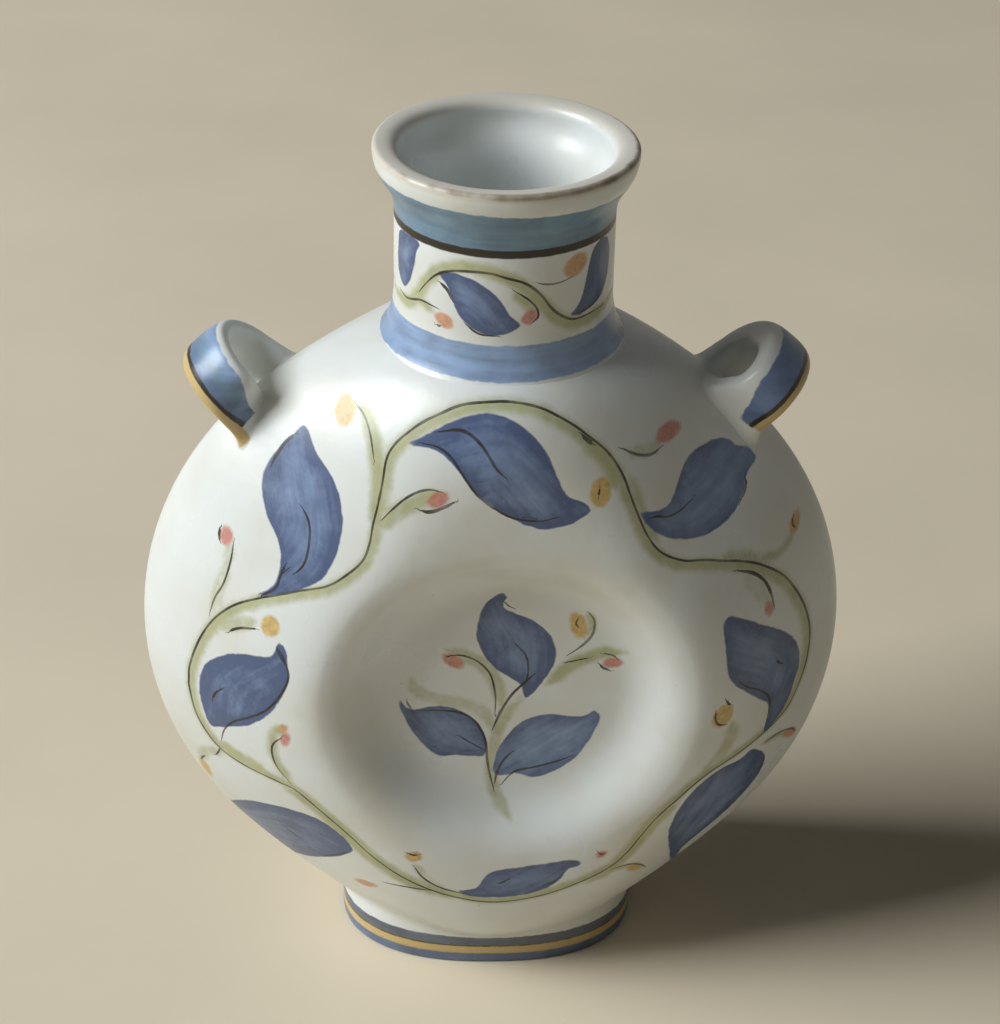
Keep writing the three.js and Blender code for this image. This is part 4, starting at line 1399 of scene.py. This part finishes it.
class JUG_OT_seam_coil(bpy.types.Operator):
    """Build the coil that is pressed into the inside of the seam"""

    bl_idname = "jug.seam_coil"
    bl_label = "Seam coil"

    def execute(self, context):
        jug = context.scene.jug
        s = in_millimetres(jug.sizes)
        coil_rings, clearance = 181, 0.3
        mark_spacing, mark_depth = 14, 0.12  # finger marks: millimetres apart, and share of the radius
        tip, taper = 0.35, 14  # share of the radius at the ends, and how soon it is whole
        radius = s.body_radius - s.body_wall - clearance - s.seam_coil_radius
        half_gap = math.asin((s.bore_radius + s.seam_coil_radius) / radius)
        turn = full_turn(COIL_FACETS)
        rings = []
        for t in np.linspace(0, 1, coil_rings):
            bearing = math.pi / 2 + half_gap + t * 2 * (math.pi - half_gap)
            spoke = np.array([math.cos(bearing), 0, math.sin(bearing)])
            press = 1 - mark_depth + mark_depth * math.sin(bearing * radius / mark_spacing * 2 * math.pi)
            size = s.seam_coil_radius * press * min(1, tip + taper * min(t, 1 - t))
            ring = np.outer(np.cos(turn), spoke) + np.outer(np.sin(turn), [0, 1, 0])
            rings.append(radius * spoke + size * ring)
        points, faces = capped(rings, np.array([rings[0].mean(0), rings[-1].mean(0)]))
        piece = new_piece("seam_coil", points, inside_out(faces), s)
        dress(piece, bare_clay(jug.colours), ("seam_coil",))
        return {"FINISHED"}


class JUG_OT_stage(bpy.types.Operator):
    """Build the floor, the lamps and the camera"""

    bl_idname = "jug.stage"
    bl_label = "Stage"

    def execute(self, context):
        scene = context.scene
        self.floor(scene)
        self.lamp(scene, "Window", (-2.9, -0.45, 2.15), 2.0, 148, (0.955, 0.99, 1.0))
        self.lamp(scene, "Fill", (1.2, -1.6, 0.9), 1.4, 0.3, (1, 1, 1))
        world = bpy.data.worlds.new("Room")
        world.use_nodes = True
        tree = world.node_tree
        tree.nodes.clear()
        # The camera and reflections see a pale room, which lights the jug only faintly
        rays = add(tree, "ShaderNodeLightPath")
        kinds = {0: rays["Is Camera Ray"], 1: rays["Is Glossy Ray"]}
        seen = add(tree, "ShaderNodeMath", kinds, operation="MAXIMUM")[0]
        strength = add(tree, "ShaderNodeMapRange", {0: seen, 3: 0.05, 4: 0.45})[0]
        room = add(tree, "ShaderNodeBackground", {0: (0.95, 0.93, 0.88, 1), 1: strength})[0]
        add(tree, "ShaderNodeOutputWorld", {0: room})
        scene.world = world
        self.camera(scene)
        scene.view_settings.view_transform = "Standard"
        return {"FINISHED"}

    def floor(self, scene):
        """Pale stone, with a faint cloudiness and a matt surface."""
        material, tree = new_material("Pale stone floor")
        place = add(tree, "ShaderNodeTexCoord")["Object"]
        clouds = {"Vector": place, "Scale": per_metre(120), "Detail": 4}
        cloud = add(tree, "ShaderNodeTexNoise", clouds)["Fac"]
        tone = add(tree, "ShaderNodeMapRange", {0: cloud, 1: 0.3, 2: 0.7, 3: 0.96, 4: 1.04})[0]
        toned = {0: scene.jug.colours.floor, "Scale": tone}
        shade = add(tree, "ShaderNodeVectorMath", toned, operation="SCALE")[0]
        surface = {"Base Color": shade, "Roughness": 0.9, "Specular IOR Level": 0.2}
        shader = add(tree, "ShaderNodeBsdfPrincipled", surface)[0]
        add(tree, "ShaderNodeOutputMaterial", {0: shader})
        half = 9.0
        mesh = bpy.data.meshes.new("floor")
        corners = [(-half, -half, 0), (half, -half, 0), (half, half, 0), (-half, half, 0)]
        mesh.from_pydata(corners, [], [(0, 1, 2, 3)])
        mesh.materials.append(material)
        floor = bpy.data.objects.new("floor", mesh)
        scene.collection.objects.link(floor)

    def lamp(self, scene, name, place, size, power, tint):
        """A square soft light that looks at the jug. Its size is in metres and its power in watts."""
        light = bpy.data.lights.new(name, "AREA")
        light.shape, light.size, light.energy, light.color = "SQUARE", size, power, tint
        lamp = bpy.data.objects.new(name, light)
        lamp.location = place
        middle = Vector((0, 0, 0.1))
        aim = middle - lamp.location
        lamp.rotation_euler = aim.to_track_quat("-Z", "Y").to_euler()
        scene.collection.objects.link(lamp)

    def camera(self, scene):
        """The photograph's viewpoint, from a fit to the outline, rim, neck, foot and dimple."""
        rise, yaw, roll = math.radians(31.06), math.radians(2.09), math.radians(-1.28)
        distance, right_shift, up_shift, aim_height = 0.66432, 0.00159, 0.0114, 0.110
        focal_pixels, frame_pixels, sensor = 2600, 1024, 36
        right = Vector((1, 0, 0))
        ahead = Vector((0, math.cos(rise), -math.sin(rise)))
        up = Vector((0, math.sin(rise), math.cos(rise)))
        place = right * right_shift + up * up_shift - ahead * distance
        turned_right = right * math.cos(roll) - up * math.sin(roll)
        turned_up = right * math.sin(roll) + up * math.cos(roll)
        turn = Matrix((turned_right, turned_up, -ahead)).transposed().to_4x4()
        camera = bpy.data.objects.new("Camera", bpy.data.cameras.new("Camera"))
        camera.data.sensor_width = sensor
        camera.data.lens = sensor * focal_pixels / frame_pixels
        camera.data.clip_start = 0.01
        lift = Matrix.Translation((0, 0, aim_height))
        camera.matrix_world = lift @ Matrix.Rotation(-yaw, 4, "Z") @ Matrix.Translation(place) @ turn
        scene.collection.objects.link(camera)
        scene.camera = camera


OPERATORS = (JUG_OT_body, JUG_OT_neck, JUG_OT_foot, JUG_OT_lugs, JUG_OT_seam_coil, JUG_OT_stage)


class JUG_PT_panel(bpy.types.Panel):
    """Lists the jug's pieces, sizes and colours"""

    bl_idname = "JUG_PT_panel"
    bl_label = "Pottery jug"
    bl_space_type = "VIEW_3D"
    bl_region_type = "UI"
    bl_category = "Jug"

    def draw(self, context):
        for operator in OPERATORS:
            self.layout.operator(operator.bl_idname)
        jug = context.scene.jug
        self.layout.prop(jug, "steps_around")
        for group in (jug.sizes, jug.colours):
            box = self.layout.box()
            for prop in group.bl_rna.properties:
                if prop.type == "FLOAT":
                    box.prop(group, prop.identifier)


CLASSES = (JugSizes, JugColours, JugSettings, *OPERATORS, JUG_PT_panel)


def register():
    for cls in CLASSES:
        bpy.utils.register_class(cls)
    bpy.types.Scene.jug = PointerProperty(type=JugSettings)


def unregister():
    del bpy.types.Scene.jug
    for cls in reversed(CLASSES):
        bpy.utils.unregister_class(cls)


def main():
    register()
    bpy.ops.jug.body()
    bpy.ops.jug.neck()
    bpy.ops.jug.foot()
    bpy.ops.jug.lugs()
    bpy.ops.jug.seam_coil()
    bpy.ops.jug.stage()


if __name__ == "__main__":
    main()
